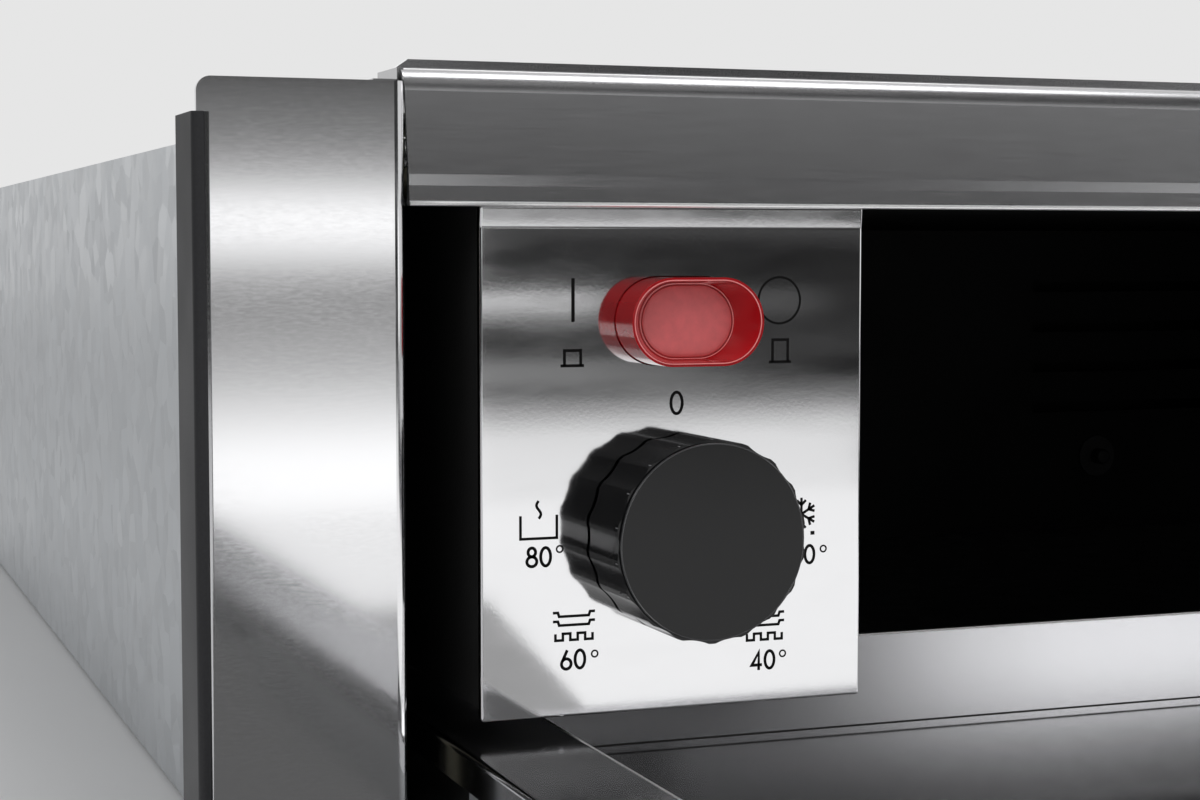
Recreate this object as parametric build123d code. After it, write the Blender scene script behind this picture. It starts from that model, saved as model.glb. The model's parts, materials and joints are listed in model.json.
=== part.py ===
from build123d import *
import os
from math import cos, radians, sin, tan

# Built-in warming drawer, 140 mm high, for a 560 mm wide niche. All sizes are in millimetres.
# The origin is the centre of the housing's underside. +Z is up and the drawer pulls out along -Y.
# The left-hand side is at -X. The drawer is drawn open, as far as rest_opening says.

# ---------------------------------------------------------------------------
# Driving dimensions
# ---------------------------------------------------------------------------

# Housing
case_width = 550.0
case_depth = 540.0
case_height = 134.0
case_sheet = 0.8
case_bend = 2.0
lip_bend = 1.6
cover_lip = 10.0
rear_lip = 12.0
side_insulation = 10.4
top_insulation = 12.2
rear_space = 40.0

# Front frame: two stiles, their edge trims and the two cross members
stile_width = 30.5
stile_side_gap = 2.5
stile_sheet = 1.0
stile_top_gap = 2.3
stile_bend = 1.8
stile_corner = 2.1
stile_outer_return = 12.0
stile_inner_return = 20.0
flange_clearance = 1.0
fixing_radius = 2.3
fixing_height = 14.0
fixing_inset = 10.0
trim_sheet = 0.8
trim_bend = 1.0
trim_cover = 0.9
trim_top_gap = 5.0
trim_back_gap = 0.3

bar_sheet = 0.8
bar_drop = 0.7
bar_height = 20.2
bar_bend = 4.0
bar_lean = 8.0
bar_flange = 16.0
bar_upstand = 2.2
bar_upstand_bend = 1.0
bar_hem = 4.5
bar_hem_bend = 0.7
bar_end_gap = 0.45
bar_upstand_slope = 4.3
bar_ear = 3.6
bar_ear_sheet = 0.6
bar_tab_sheet = 1.0
bar_tab_setback = 5.0
bar_screw_radius = 1.5
bar_screw_head_radius = 2.4
bar_screw_head = 1.2
bar_screw_length = 4.0
bar_screw_setback = 8.0
bar_screw_rise = 7.8
screw_clearance = 0.1

rail_height = 8.0
rail_depth = 6.0
rail_sheet = 0.8
rail_bend = 1.2

# Heated chamber
liner_sheet = 0.8
liner_bend = 2.0
liner_front_gap = 1.0
tongue_setback = 4.0
blanket_corner = 3.0

# Fan, heater and baffle at the back of the chamber
fan_space = 40.0
baffle_sheet = 0.8
inlet_slot_count = 8
inlet_slot_radius = 24.0
inlet_slot_length = 20.0
inlet_slot_width = 5.0
outlet_slot_count = 4
outlet_slot_length = 90.0
outlet_slot_width = 4.0
outlet_slot_pitch = 16.0
outlet_inset = 98.0
outlet_bottom = 50.0
fan_rise = 3.5
impeller_rim_gap = 4.8
impeller_depth = 20.0
impeller_sheet = 1.2
impeller_hub_radius = 9.0
impeller_eye_radius = 20.0
impeller_gap = 6.0
blade_count = 12
blade_thickness = 1.2
fan_shaft_radius = 2.5
fan_shaft_grip = 12.0
shaft_end_gap = 1.0
bearing_clearance = 0.05
passage_clearance = 1.0
motor_radius = 33.0
motor_length = 30.0
motor_boss_radius = 11.0
motor_boss_length = 3.0
motor_strap_length = 92.0
motor_strap_width = 14.0
motor_strap_sheet = 1.5
element_wall_gap = 9.7
element_tube_radius = 3.2
element_gap_angle = 30.0
element_pin_length = 8.0
element_pin_radius = 1.5
element_flange_margin = 3.0
element_flange_sheet = 1.0
cutout_radius = 8.0
cutout_length = 7.0
cutout_offset = 80.0
cutout_drop = 25.2
cutout_tab_rise = 4.0
cutout_plate_length = 26.0
cutout_plate_width = 10.0
cutout_plate_sheet = 0.8
terminal_tab_width = 6.3
terminal_tab_sheet = 0.8
terminal_tab_length = 8.0

# Control panel
plate_setback = 2.0
plate_side_gap = 11.65
plate_width = 63.3
plate_sheet = 1.2
plate_bottom_gap = 2.5
plate_bend_drop = 3.2
plate_bend_height = 2.9
plate_top_lap = 1.9
plate_bend_forward = 0.3
plate_bend_radius = 4.0
plate_edge = 0.4
plate_corner = 0.6
control_shift = 0.6
box_side_margin = 1.2
box_bottom_margin = 1.2
box_sheet = 1.2
box_depth = 78.0
knob_share = 0.346
knob_radius = 15.35
knob_projection = 13.2
knob_gap = 0.6
knob_scallops = 18
knob_scallop_depth = 0.4
knob_cap_radius = 14.9
knob_cap = 0.5
knob_edge = 0.2
knob_wall = 2.0
knob_face = 2.4
knob_boss_radius = 5.6
knob_rib = 1.2
shaft_radius = 3.0
shaft_flat = 1.9
shaft_grip = 9.5
shaft_in_body = 16.0
knob_bore_clearance = 0.05
plate_hole_clearance = 1.2
thermostat_size = 34.0
thermostat_depth = 26.0
thermostat_corner = 3.0
thermostat_bush_radius = 4.8
thermostat_bush_clearance = 0.1
thermostat_bottom_gap = 2.0

# Push button and its switch
button_share = 0.757
button_width = 21.5
button_depth_z = 13.4
button_projection = 7.3
button_travel = 4.0
button_rim = 0.6
button_dish = 4.7
button_floor_width = 15.3
button_floor_depth_z = 11.4
button_clearance = 0.15
button_flange_margin = 1.6
button_flange = 1.4
button_flange_gap = 0.1
button_stem_width = 9.0
button_stem_depth_z = 6.0
button_stem_engagement = 12.0
switch_gap = 1.0
switch_width = 29.0
switch_depth_z = 17.0
switch_length = 30.0
switch_leg = 0.9
switch_leg_depth_z = 8.0
stem_clearance = 0.3
spring_wire_radius = 0.3
spring_radius = 6.6
spring_turns = 3
wire_sides = 6

# Drawer tray and front panel
tray_sheet = 0.8
tray_bend = 1.2
tray_rim_bend = 0.9
tray_floor = 21.0
tray_wall_top = 39.5
tray_rim_gap = 4.3
tray_rear_gap = 6.8
tray_lip = 5.5
tray_hem = 4.0
tray_hem_edge = 0.5
rest_opening = 386.8
front_overhang = 2.5
front_bottom = 1.5
front_top_rise = 0.1
front_depth = 22.0
front_sheet = 1.0
front_corner = 1.6
front_return = 10.0
front_gap = 2.0
inner_panel_depth = 4.8
inner_panel_sheet = 0.8
inner_panel_inset = 20.5
inner_panel_margin_z = 12.0
inner_panel_corner = 1.6
pad_clearance = 0.4
tray_screw_radius = 2.0
tray_screw_head_radius = 3.8
tray_screw_head = 1.6
tray_screw_length = 5.0
tray_screw_count = 4
tray_screw_spread = 150.0
tray_screw_height = 30.0

# Telescopic slides, in section: u runs from the bracket to the tray, v up from mid height
middle_share = 0.5
slide_width = 12.6
slide_height = 27.0
slide_rise = 2.5
slide_front_gap = 6.0
slide_rear_gap = 4.0
middle_shortfall = 10.0
outer_sheet = 1.2
middle_sheet = 1.2
inner_sheet = 1.2
ball_radius = 1.8
ball_clearance = 0.05
race_depth = 0.25
outer_flange = 9.0
middle_web_u = 2.4
middle_flange_u = 10.0
inner_flange_u = 5.6
outer_ball_u = 5.5
inner_ball_u = 8.0
cage_sheet = 0.6
cage_length = 110.0
cage_setback = 5.0
cage_balls = 3
cage_ball_pitch = 40.0
outer_cage_u = 1.5
inner_cage_u = 3.9
cage_margin = 2.1
cage_hole_clearance = 0.1
bracket_sheet = 1.2
bracket_foot = 8.0
bracket_wall_gap = 2.0
bracket_bend = 1.6

# Push catch behind the tray
catch_inset = 113.0
catch_height = 30.0
catch_radius = 6.0
catch_collar_radius = 8.0
catch_collar = 1.2
catch_length = 34.0
catch_hole_clearance = 0.2
plunger_radius = 3.0
plunger_nose = 1.0
plunger_gap = 0.3
plunger_in_body = 14.0
plunger_end_gap = 6.0

# Mains inlet at the back
gland_inset = 65.0
gland_height = 30.0
gland_bore_radius = 4.0
gland_thread_radius = 7.5
gland_head_radius = 11.0
gland_head_length = 9.0
gland_thread_length = 12.0
gland_nose = 2.0
gland_nut_size = 21.0
gland_nut_length = 4.0
gland_clearance = 0.1
block_width = 44.0
block_depth = 18.0
block_height = 20.0
block_poles = 3
block_from_gland = 60.0
block_back_gap = 20.0
block_funnel_radius = 3.0
block_funnel_depth = 6.0
vent_slot_count = 10
vent_slot_length = 44.0
vent_slot_width = 4.0
vent_slot_pitch = 14.0

# How far a cut runs past the face that it opens
cut_over = 1.0

# ---------------------------------------------------------------------------
# Planes and places worked out from the driving dimensions
# ---------------------------------------------------------------------------

case_half = case_width / 2
case_inner = case_half - case_sheet
front_y = -case_depth / 2
back_y = case_depth / 2
cover_under = case_height - case_sheet
face_y = front_y - stile_sheet
liner_outer = case_inner - side_insulation
liner_half = liner_outer - liner_sheet
liner_top = cover_under - top_insulation
liner_ceiling = liner_top - liner_sheet
liner_front = face_y + stile_inner_return + liner_front_gap
liner_back = back_y - rear_space
liner_rear = liner_back + liner_sheet
baffle_front = liner_back - fan_space
baffle_rear = baffle_front + baffle_sheet
stile_inner = liner_half + stile_side_gap
frame_half = stile_inner + stile_width
bar_end = stile_inner - bar_end_gap
bar_bottom = liner_ceiling - bar_drop
bar_top = bar_bottom + bar_height
bar_screw_height = bar_bottom + bar_screw_rise
stile_height = bar_top - stile_top_gap
trim_top = stile_height - trim_top_gap
plate_front = face_y + plate_setback
plate_back = plate_front + plate_sheet
plate_bottom = tray_wall_top + plate_bottom_gap
plate_bend_start = bar_bottom - plate_bend_drop
plate_bend_end = plate_bend_start + plate_bend_height
plate_top = bar_bottom + plate_top_lap
plate_centre_x = -(stile_inner - plate_side_gap - plate_width / 2)
control_x = plate_centre_x + control_shift
knob_height_z = plate_bottom + knob_share * (plate_top - plate_bottom)
button_height_z = plate_bottom + button_share * (plate_top - plate_bottom)
box_half = plate_width / 2 - box_side_margin
box_inner_front = plate_back + box_sheet
slide_bracket_x = liner_half - bracket_wall_gap - bracket_foot
slide_tray_x = slide_bracket_x - slide_width
slide_middle_z = tray_floor + slide_rise
slide_front = front_y + slide_front_gap
slide_length = baffle_front - slide_rear_gap - slide_front
middle_length = slide_length - middle_shortfall
cage_middle_y = slide_front + slide_length / 2 - cage_setback
bracket_height = slide_middle_z + slide_height / 2
tray_half = slide_tray_x - tray_sheet
tray_under = tray_floor - tray_sheet
rim_half = liner_half - tray_rim_gap
front_half = frame_half + front_overhang
front_top = stile_height + front_top_rise
panel_back = face_y - front_gap
panel_front = panel_back - front_depth
inner_panel_half = front_half - inner_panel_inset
inner_panel_back = panel_front + front_sheet + inner_panel_depth
tray_front = inner_panel_back + tray_sheet
tray_back = baffle_front - tray_rear_gap - 2 * tray_sheet
outlet_offset = liner_half - outlet_inset
catch_x = liner_half - catch_inset
gland_x = case_half - gland_inset
block_x = gland_x - block_from_gland
chamber_half_height = (liner_ceiling - case_sheet) / 2
fan_height = case_sheet + chamber_half_height + fan_rise
cutout_height = liner_ceiling - cutout_drop
element_radius = chamber_half_height - element_wall_gap
impeller_radius = element_radius - element_tube_radius - impeller_rim_gap
impeller_front = baffle_rear + impeller_gap
impeller_back = impeller_front + impeller_depth


# ---------------------------------------------------------------------------
# Shared helpers
# ---------------------------------------------------------------------------

def block(x_range, y_range, z_range):
    """A box given by its two faces along each axis."""
    size = [b - a for a, b in (x_range, y_range, z_range)]
    middle = [(a + b) / 2 for a, b in (x_range, y_range, z_range)]
    return Pos(*middle) * Box(*size)


def along_x(face, x_start, x_end):
    """A section drawn in (Y, Z), carried along X."""
    plane = Plane(origin=(x_start, 0, 0), x_dir=(0, 1, 0), z_dir=(1, 0, 0))
    return extrude(plane * face, amount=x_end - x_start)


def along_y(face, y_start, y_end):
    """A section drawn in (X, Z), carried along Y."""
    plane = Plane(origin=(0, y_end, 0), x_dir=(1, 0, 0), z_dir=(0, -1, 0))
    return extrude(plane * face, amount=y_end - y_start)


def along_z(face, z_start, z_end):
    """A section drawn in (X, Y), carried along Z."""
    return extrude(Pos(0, 0, z_start) * face, amount=z_end - z_start)


def rod_x(y, z, radius, x_start, x_end):
    """A round bar along X."""
    middle = (x_start + x_end) / 2
    return Pos(middle, y, z) * Rot(Y=90) * Cylinder(radius, abs(x_end - x_start))


def rod_y(x, z, radius, y_start, y_end):
    """A round bar along Y."""
    middle = (y_start + y_end) / 2
    return Pos(x, middle, z) * Rot(X=90) * Cylinder(radius, abs(y_end - y_start))


def rod_z(x, y, radius, z_start, z_end):
    """A round bar along Z."""
    return Pos(x, y, (z_start + z_end) / 2) * Cylinder(radius, z_end - z_start)


def bent_sheet(points, bends, thickness, side):
    """The section of a folded sheet: one surface as a filleted line, thickened to one side."""
    surface = FilletPolyline(*points, radius=bends)
    outline = offset(Wire(surface.edges()), amount=thickness, side=side, kind=Kind.ARC)
    return make_face(outline.edges())


def mirrored(shape):
    """The right-hand twin of a left-hand piece."""
    return mirror(shape, about=Plane.YZ)


def opened(shape, share=1.0):
    """A piece drawn for the closed drawer, moved forward by its share of the rest opening."""
    return Pos(0, -rest_opening * share, 0) * shape


# ---------------------------------------------------------------------------
# Housing
# ---------------------------------------------------------------------------

def fixing_hole(side):
    """The hole for the screw that fixes one side of the front frame to the cabinet."""
    x = side * (frame_half - fixing_inset)
    return rod_y(x, fixing_height, fixing_radius, face_y - stile_sheet, front_y + 2 * case_sheet)


def base_pan():
    """Floor and side walls folded from one sheet, with a flange out to each side at the front."""
    outer = [(-case_half, case_height), (-case_half, 0), (case_half, 0), (case_half, case_height)]
    pan = along_y(bent_sheet(outer, case_bend, case_sheet, Side.LEFT), front_y, back_y)
    reach = frame_half - stile_sheet - flange_clearance
    flange_y = (front_y, front_y + case_sheet)
    for side in (-1, 1):
        flange_x = sorted((side * case_inner, side * reach))
        pan += block(flange_x, flange_y, (case_bend, case_height))
        pan -= fixing_hole(side)
    return pan


def top_cover():
    """The lid behind the front frame, with a lip down inside each side wall."""
    lip_end = case_height - cover_lip
    outer = [(-case_inner, lip_end), (-case_inner, case_height), (case_inner, case_height), (case_inner, lip_end)]
    section = bent_sheet(outer, lip_bend, case_sheet, Side.RIGHT)
    return along_y(section, liner_front, back_y)


def rear_panel():
    """The back wall between floor and lid, with vent slots and the inlet hole."""
    lip_end = back_y - rear_lip
    outer = [(lip_end, case_sheet), (back_y, case_sheet), (back_y, cover_under), (lip_end, cover_under)]
    half = case_inner - case_bend
    panel = along_x(bent_sheet(outer, lip_bend, case_sheet, Side.LEFT), -half, half)
    through = (back_y - 2 * case_sheet, back_y + case_sheet)
    first = -(vent_slot_count - 1) * vent_slot_pitch / 2
    for index in range(vent_slot_count):
        x = first + index * vent_slot_pitch
        slot = Pos(x, fan_height) * Rot(0, 0, 90) * SlotOverall(vent_slot_length, vent_slot_width)
        panel -= along_y(slot, *through)
    panel -= rod_y(gland_x, gland_height, gland_thread_radius + gland_clearance, *through)
    return panel


def bottom_rail():
    """The low cross member under the drawer, folded back on to the floor."""
    points = [(face_y, 0), (face_y, rail_height), (face_y + rail_depth, rail_height), (face_y + rail_depth, case_sheet)]
    section = bent_sheet(points, rail_bend, rail_sheet, Side.RIGHT)
    return along_x(section, -bar_end, bar_end)


def left_stile():
    """The brushed upright of the front frame, folded back at both edges, the outer fold ending under the trim."""
    outer = [
        (-frame_half, face_y + stile_outer_return),
        (-frame_half, face_y),
        (-stile_inner, face_y),
        (-stile_inner, face_y + stile_inner_return),
    ]
    stile = along_z(bent_sheet(outer, stile_bend, stile_sheet, Side.LEFT), 0, trim_top)
    stile += along_z(bent_sheet(outer[1:], stile_bend, stile_sheet, Side.LEFT), trim_top, stile_height)
    front = Pos(-frame_half + stile_width / 2, stile_height / 2) * Rectangle(stile_width, stile_height)
    corner = front.vertices().sort_by(Axis.X)[:2].sort_by(Axis.Y)[-1]
    front = fillet(corner, stile_corner)
    stile &= along_y(front, face_y - stile_sheet, face_y + stile_inner_return + stile_sheet)
    notch_x = (-stile_inner - 2 * stile_sheet, -stile_inner + stile_sheet)
    stile -= block(notch_x, (front_y, liner_front), (-case_sheet, case_sheet))
    stile -= fixing_hole(-1)
    stile -= bar_screw_hole()
    return stile


def left_edge_trim():
    """The dark channel clipped over the outer edge of the stile."""
    reach = frame_half + trim_sheet
    cover = frame_half - trim_cover
    front = face_y - trim_sheet
    back = face_y + stile_outer_return + trim_back_gap + trim_sheet
    points = [(-cover, front), (-reach, front), (-reach, back), (-cover, back)]
    section = bent_sheet(points, trim_bend, trim_sheet, Side.RIGHT)
    return along_z(section, 0, trim_top)


def bar_screw_place():
    """Where the bar's end screws sit, as (Y, Z)."""
    return face_y + bar_screw_setback, bar_screw_height


def bar_screw_hole():
    """The screw's hole through the left stile's return and the bar's tab."""
    y, z = bar_screw_place()
    inner_end = -stile_inner + bar_tab_sheet + cut_over
    return rod_x(y, z, bar_screw_radius + screw_clearance, inner_end, -stile_inner - 2 * stile_sheet)


def top_bar():
    """The cross member over the controls: hemmed below, leaning back, folded over and up, with a tab at each end."""
    lean = (bar_top - bar_bottom) * tan(radians(bar_lean))
    flange_end = face_y + bar_flange
    upstand_top = bar_top + bar_upstand
    outer = [(face_y, bar_bottom), (face_y + lean, bar_top), (flange_end, bar_top), (flange_end, upstand_top)]
    bar = along_x(bent_sheet(outer, [bar_bend, bar_upstand_bend], bar_sheet, Side.RIGHT), -bar_end, bar_end)
    bar -= upstand_corner(upstand_top)
    bar -= mirrored(upstand_corner(upstand_top))
    hem_y = (face_y + bar_sheet / 2, face_y + 2 * bar_sheet)
    bar += block((-bar_end, bar_end), hem_y, (bar_bottom, bar_bottom + bar_hem))
    bar = fillet(bar.edges().filter_by(Axis.X).sort_by(Axis.Y)[0], bar_hem_bend)
    tab_x = (-stile_inner, -stile_inner + bar_tab_sheet)
    tab_y = (face_y + bar_tab_setback, flange_end)
    tab = block(tab_x, tab_y, (bar_bottom, bar_top))
    ear_x = (-stile_inner - bar_ear, -stile_inner)
    ear = block(ear_x, tab_y, (stile_height, stile_height + bar_ear_sheet))
    end = tab + ear - bar_screw_hole()
    return bar + end + mirrored(end)


def upstand_corner(upstand_top):
    """The corner cut off the left end of the bar's upstand, as a sloping edge."""
    low = bar_top - bar_sheet
    outline = Polyline(
        (-bar_end - cut_over, low),
        (-bar_end, low),
        (-bar_end + bar_upstand_slope, upstand_top),
        (-bar_end + bar_upstand_slope, upstand_top + cut_over),
        (-bar_end - cut_over, upstand_top + cut_over),
        close=True,
    )
    upstand_y = face_y + bar_flange
    return along_y(make_face(outline.edges()), upstand_y - bar_upstand_bend, upstand_y + bar_sheet + cut_over)


def bar_end_screws():
    """The two screws that hold the bar's end tabs to the stiles."""
    y, z = bar_screw_place()
    seat = -stile_inner + bar_tab_sheet
    head = rod_x(y, z, bar_screw_head_radius, seat, seat + bar_screw_head)
    head = chamfer(head.edges().sort_by(Axis.X)[-1], bar_screw_head / 2)
    shank = rod_x(y, z, bar_screw_radius, seat, seat - bar_screw_length)
    screw = head + shank
    return Compound([screw, mirrored(screw)])


# ---------------------------------------------------------------------------
# Heated chamber, fan and heater
# ---------------------------------------------------------------------------

def element_leg_places():
    """Centres of the heater's two legs, as (X, Z)."""
    half = radians(element_gap_angle / 2)
    x = element_radius * sin(half)
    z = fan_height - element_radius * cos(half)
    return [(-x, z), (x, z)]


def chamber_liner():
    """The chamber's ceiling and side walls, folded from one sheet and standing on the housing's floor."""
    inner = [
        (-liner_half, case_sheet),
        (-liner_half, liner_ceiling),
        (liner_half, liner_ceiling),
        (liner_half, case_sheet),
    ]
    liner = along_y(bent_sheet(inner, liner_bend, liner_sheet, Side.LEFT), liner_front, liner_back)
    tongue = liner_half - liner_bend
    tongue_y = (front_y + tongue_setback, liner_front)
    return liner + block((-tongue, tongue), tongue_y, (liner_ceiling, liner_top))


def liner_back_wall():
    """The chamber's back, closing the folded liner, with the holes for the fan shaft and the heater's legs."""
    height = liner_top - case_sheet
    wall = Pos(0, case_sheet + height / 2) * Rectangle(2 * liner_outer, height)
    wall = fillet(wall.vertices().sort_by(Axis.Y)[-2:], liner_bend)
    wall -= Pos(0, fan_height) * Circle(fan_shaft_radius + passage_clearance)
    for x, z in element_leg_places():
        wall -= Pos(x, z) * Circle(element_tube_radius + screw_clearance)
    return along_y(wall, liner_back, liner_rear)


def insulation_blanket():
    """Mineral wool over the liner's top and sides."""
    half = case_inner - case_sheet
    blanket = block((-half, half), (liner_front, liner_rear), (case_sheet, cover_under))
    blanket = fillet(blanket.edges().filter_by(Axis.Y), blanket_corner)
    inside_y = (liner_front - cut_over, liner_rear + cut_over)
    return blanket - block((-liner_outer, liner_outer), inside_y, (case_sheet - cut_over, liner_top))


def rear_baffle():
    """The inner back wall, with the fan's inlet slots in a ring and outlet slots to each side."""
    wall = Pos(0, (case_sheet + liner_ceiling) / 2) * Rectangle(2 * liner_half, liner_ceiling - case_sheet)
    wall = fillet(wall.vertices().sort_by(Axis.Y)[-2:], liner_bend + liner_sheet)
    for angle in range(0, 360, 360 // inlet_slot_count):
        place = Pos(0, fan_height) * Rot(0, 0, angle) * Pos(inlet_slot_radius, 0)
        wall -= place * SlotOverall(inlet_slot_length, inlet_slot_width)
    for side in (-1, 1):
        for index in range(outlet_slot_count):
            z = outlet_bottom + index * outlet_slot_pitch
            wall -= Pos(side * outlet_offset, z) * SlotOverall(outlet_slot_length, outlet_slot_width)
    wall -= Pos(catch_x, catch_height) * Circle(catch_radius + catch_hole_clearance)
    return along_y(wall, baffle_front, baffle_rear)


def fan_impeller():
    """A radial fan wheel: back plate, hub and straight blades between eye and rim."""
    plate_y = (impeller_back - impeller_sheet, impeller_back)
    wheel = rod_y(0, fan_height, impeller_radius, *plate_y)
    wheel += rod_y(0, fan_height, impeller_hub_radius, impeller_front, impeller_back)
    blade_x = (impeller_eye_radius, impeller_radius - blade_thickness)
    blade_z = (-blade_thickness / 2, blade_thickness / 2)
    blade = block(blade_x, (impeller_front, impeller_back - impeller_sheet / 2), blade_z)
    for index in range(blade_count):
        wheel += Pos(0, 0, fan_height) * Rot(Y=index * 360 / blade_count) * blade
    wheel -= rod_y(0, fan_height, fan_shaft_radius, impeller_front, impeller_back)
    return wheel


def fan_shaft():
    """The motor's shaft, gripped by the wheel's hub and running in the motor's bearing."""
    end = liner_rear + motor_boss_length + fan_shaft_grip
    return rod_y(0, fan_height, fan_shaft_radius, impeller_front, end)


def fan_motor():
    """The motor behind the liner, with its boss and fixing strap against the liner's back."""
    boss_end = liner_rear + motor_boss_length
    can = rod_y(0, fan_height, motor_radius, boss_end, boss_end + motor_length)
    can = chamfer(can.edges().filter_by(GeomType.CIRCLE), motor_boss_length)
    motor = can + rod_y(0, fan_height, motor_boss_radius, liner_rear, boss_end + motor_boss_length)
    strap = Pos(0, fan_height) * SlotOverall(motor_strap_length, motor_strap_width)
    motor += along_y(strap, liner_rear, liner_rear + motor_strap_sheet)
    bore_end = boss_end + fan_shaft_grip + shaft_end_gap
    return motor - rod_y(0, fan_height, fan_shaft_radius + bearing_clearance, liner_rear, bore_end)


def heating_element():
    """A tube bent into a ring round the fan wheel, its legs passing back through the liner."""
    ring_y = (impeller_front + impeller_back) / 2
    ring = Torus(element_radius, element_tube_radius, major_angle=360 - element_gap_angle)
    ring = Rot(Z=-90 + element_gap_angle / 2) * ring
    element = Pos(0, ring_y, fan_height) * Rot(X=90) * ring
    places = element_leg_places()
    for x, z in places:
        element += rod_y(x, z, element_tube_radius, ring_y, liner_rear + element_flange_sheet)
        pin_start = liner_rear + element_flange_sheet
        element += rod_y(x, z, element_pin_radius, pin_start, pin_start + element_pin_length)
    margin = element_tube_radius + element_flange_margin
    flange_x = (places[0][0] - margin, places[1][0] + margin)
    flange_z = (places[0][1] - margin, places[0][1] + margin)
    return element + block(flange_x, (liner_back - element_flange_sheet, liner_back), flange_z)


def terminal_tab(x, y_start, z):
    """A flat push-on terminal standing out backwards."""
    half_x = terminal_tab_width / 2
    half_z = terminal_tab_sheet / 2
    return block((x - half_x, x + half_x), (y_start, y_start + terminal_tab_length), (z - half_z, z + half_z))


def thermal_cutout():
    """The safety thermostat on the liner's back wall."""
    plate_end = liner_rear + cutout_plate_sheet
    plate = Pos(cutout_offset, cutout_height) * SlotOverall(cutout_plate_length, cutout_plate_width)
    cutout = along_y(plate, liner_rear, plate_end)
    cutout += rod_y(cutout_offset, cutout_height, cutout_radius, liner_rear, liner_rear + cutout_length)
    for side in (-1, 1):
        z = cutout_height + side * cutout_tab_rise
        cutout += terminal_tab(cutout_offset, liner_rear + cutout_length, z)
    return cutout


# ---------------------------------------------------------------------------
# Controls
# ---------------------------------------------------------------------------

def stadium(width, height):
    """A round-ended outline about the push button's centre, drawn in (X, Z)."""
    return Pos(control_x, button_height_z) * SlotOverall(width, height)


def button_opening(y_start, y_end):
    """The button's hole, with its running clearance."""
    gap = 2 * button_clearance
    return along_y(stadium(button_width + gap, button_depth_z + gap), y_start, y_end)


def control_plate():
    """The polished plate, its visible edges rounded, its top strip set forward to meet the bar's hem."""
    forward = plate_front - plate_bend_forward
    front = [
        (plate_front, plate_bottom),
        (plate_front, plate_bend_start),
        (forward, plate_bend_end),
        (forward, plate_top),
    ]
    left = plate_centre_x - plate_width / 2
    section = bent_sheet(front, plate_bend_radius, plate_sheet, Side.RIGHT)
    plate = along_x(section, left, left + plate_width)
    middle_z = (plate_bottom + plate_top) / 2
    outline = Pos(plate_centre_x, middle_z) * Rectangle(plate_width, plate_top - plate_bottom)
    outline = fillet(outline.vertices().sort_by(Axis.Y)[:2], plate_corner)
    plate &= along_y(outline, forward - plate_sheet, plate_back)
    flat_front = plate.faces().filter_by(Axis.Y).sort_by(Axis.Y)[:2].sort_by(SortBy.AREA)[-1]
    rim = [e for e in flat_front.edges() if e.center().Z < plate_bend_start - plate_edge]
    plate = fillet(rim, plate_edge)
    through = (plate_front - plate_sheet, plate_back + plate_sheet)
    plate -= rod_y(control_x, knob_height_z, shaft_radius + plate_hole_clearance, *through)
    return plate - button_opening(*through)


def control_box():
    """The black box behind the plate, open at the top where the chamber's ceiling closes it."""
    outer_x = (plate_centre_x - box_half, plate_centre_x + box_half)
    outer_y = (plate_back, plate_back + box_depth)
    bottom = plate_bottom + box_bottom_margin
    box = block(outer_x, outer_y, (bottom, liner_ceiling))
    inner_x = (outer_x[0] + box_sheet, outer_x[1] - box_sheet)
    inner_y = (outer_y[0] + box_sheet, outer_y[1] - box_sheet)
    box -= block(inner_x, inner_y, (bottom + box_sheet, liner_ceiling + box_sheet))
    through = (plate_back - box_sheet, box_inner_front + box_sheet)
    bush = thermostat_bush_radius + thermostat_bush_clearance
    box -= rod_y(control_x, knob_height_z, bush, *through)
    return box - button_opening(*through)


def thermostat_body():
    """The capillary thermostat on the box's front wall, with its bush and blind shaft bore."""
    half = thermostat_size / 2
    back = box_inner_front + thermostat_depth
    low = plate_bottom + box_bottom_margin + box_sheet + thermostat_bottom_gap
    body = block(
        (control_x - half, control_x + half),
        (box_inner_front, back),
        (low, low + thermostat_size),
    )
    body = fillet(body.edges().filter_by(Axis.Y), thermostat_corner)
    body += rod_y(control_x, knob_height_z, thermostat_bush_radius, plate_back, box_inner_front)
    for side in (-1, 0, 1):
        x = control_x + side * (half - terminal_tab_width)
        body += terminal_tab(x, back, knob_height_z)
    bore = shaft_radius + bearing_clearance
    return body - rod_y(control_x, knob_height_z, bore, plate_back, box_inner_front + shaft_in_body)


def shaft_outline(radius, flat):
    """The D-shaped outline of the shaft's end, flat side down."""
    size = 2 * radius
    cutter = Pos(0, -flat - size / 2) * Rectangle(2 * size, size)
    return Pos(control_x, knob_height_z) * (Circle(radius) - cutter)


def selector_shaft():
    """The thermostat's shaft, round in its bush and D-shaped inside the knob."""
    knob_back = plate_front - knob_gap
    shaft_end = box_inner_front + shaft_in_body - shaft_end_gap
    round_part = rod_y(control_x, knob_height_z, shaft_radius, knob_back, shaft_end)
    return round_part + along_y(shaft_outline(shaft_radius, shaft_flat), knob_back - shaft_grip, knob_back)


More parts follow.
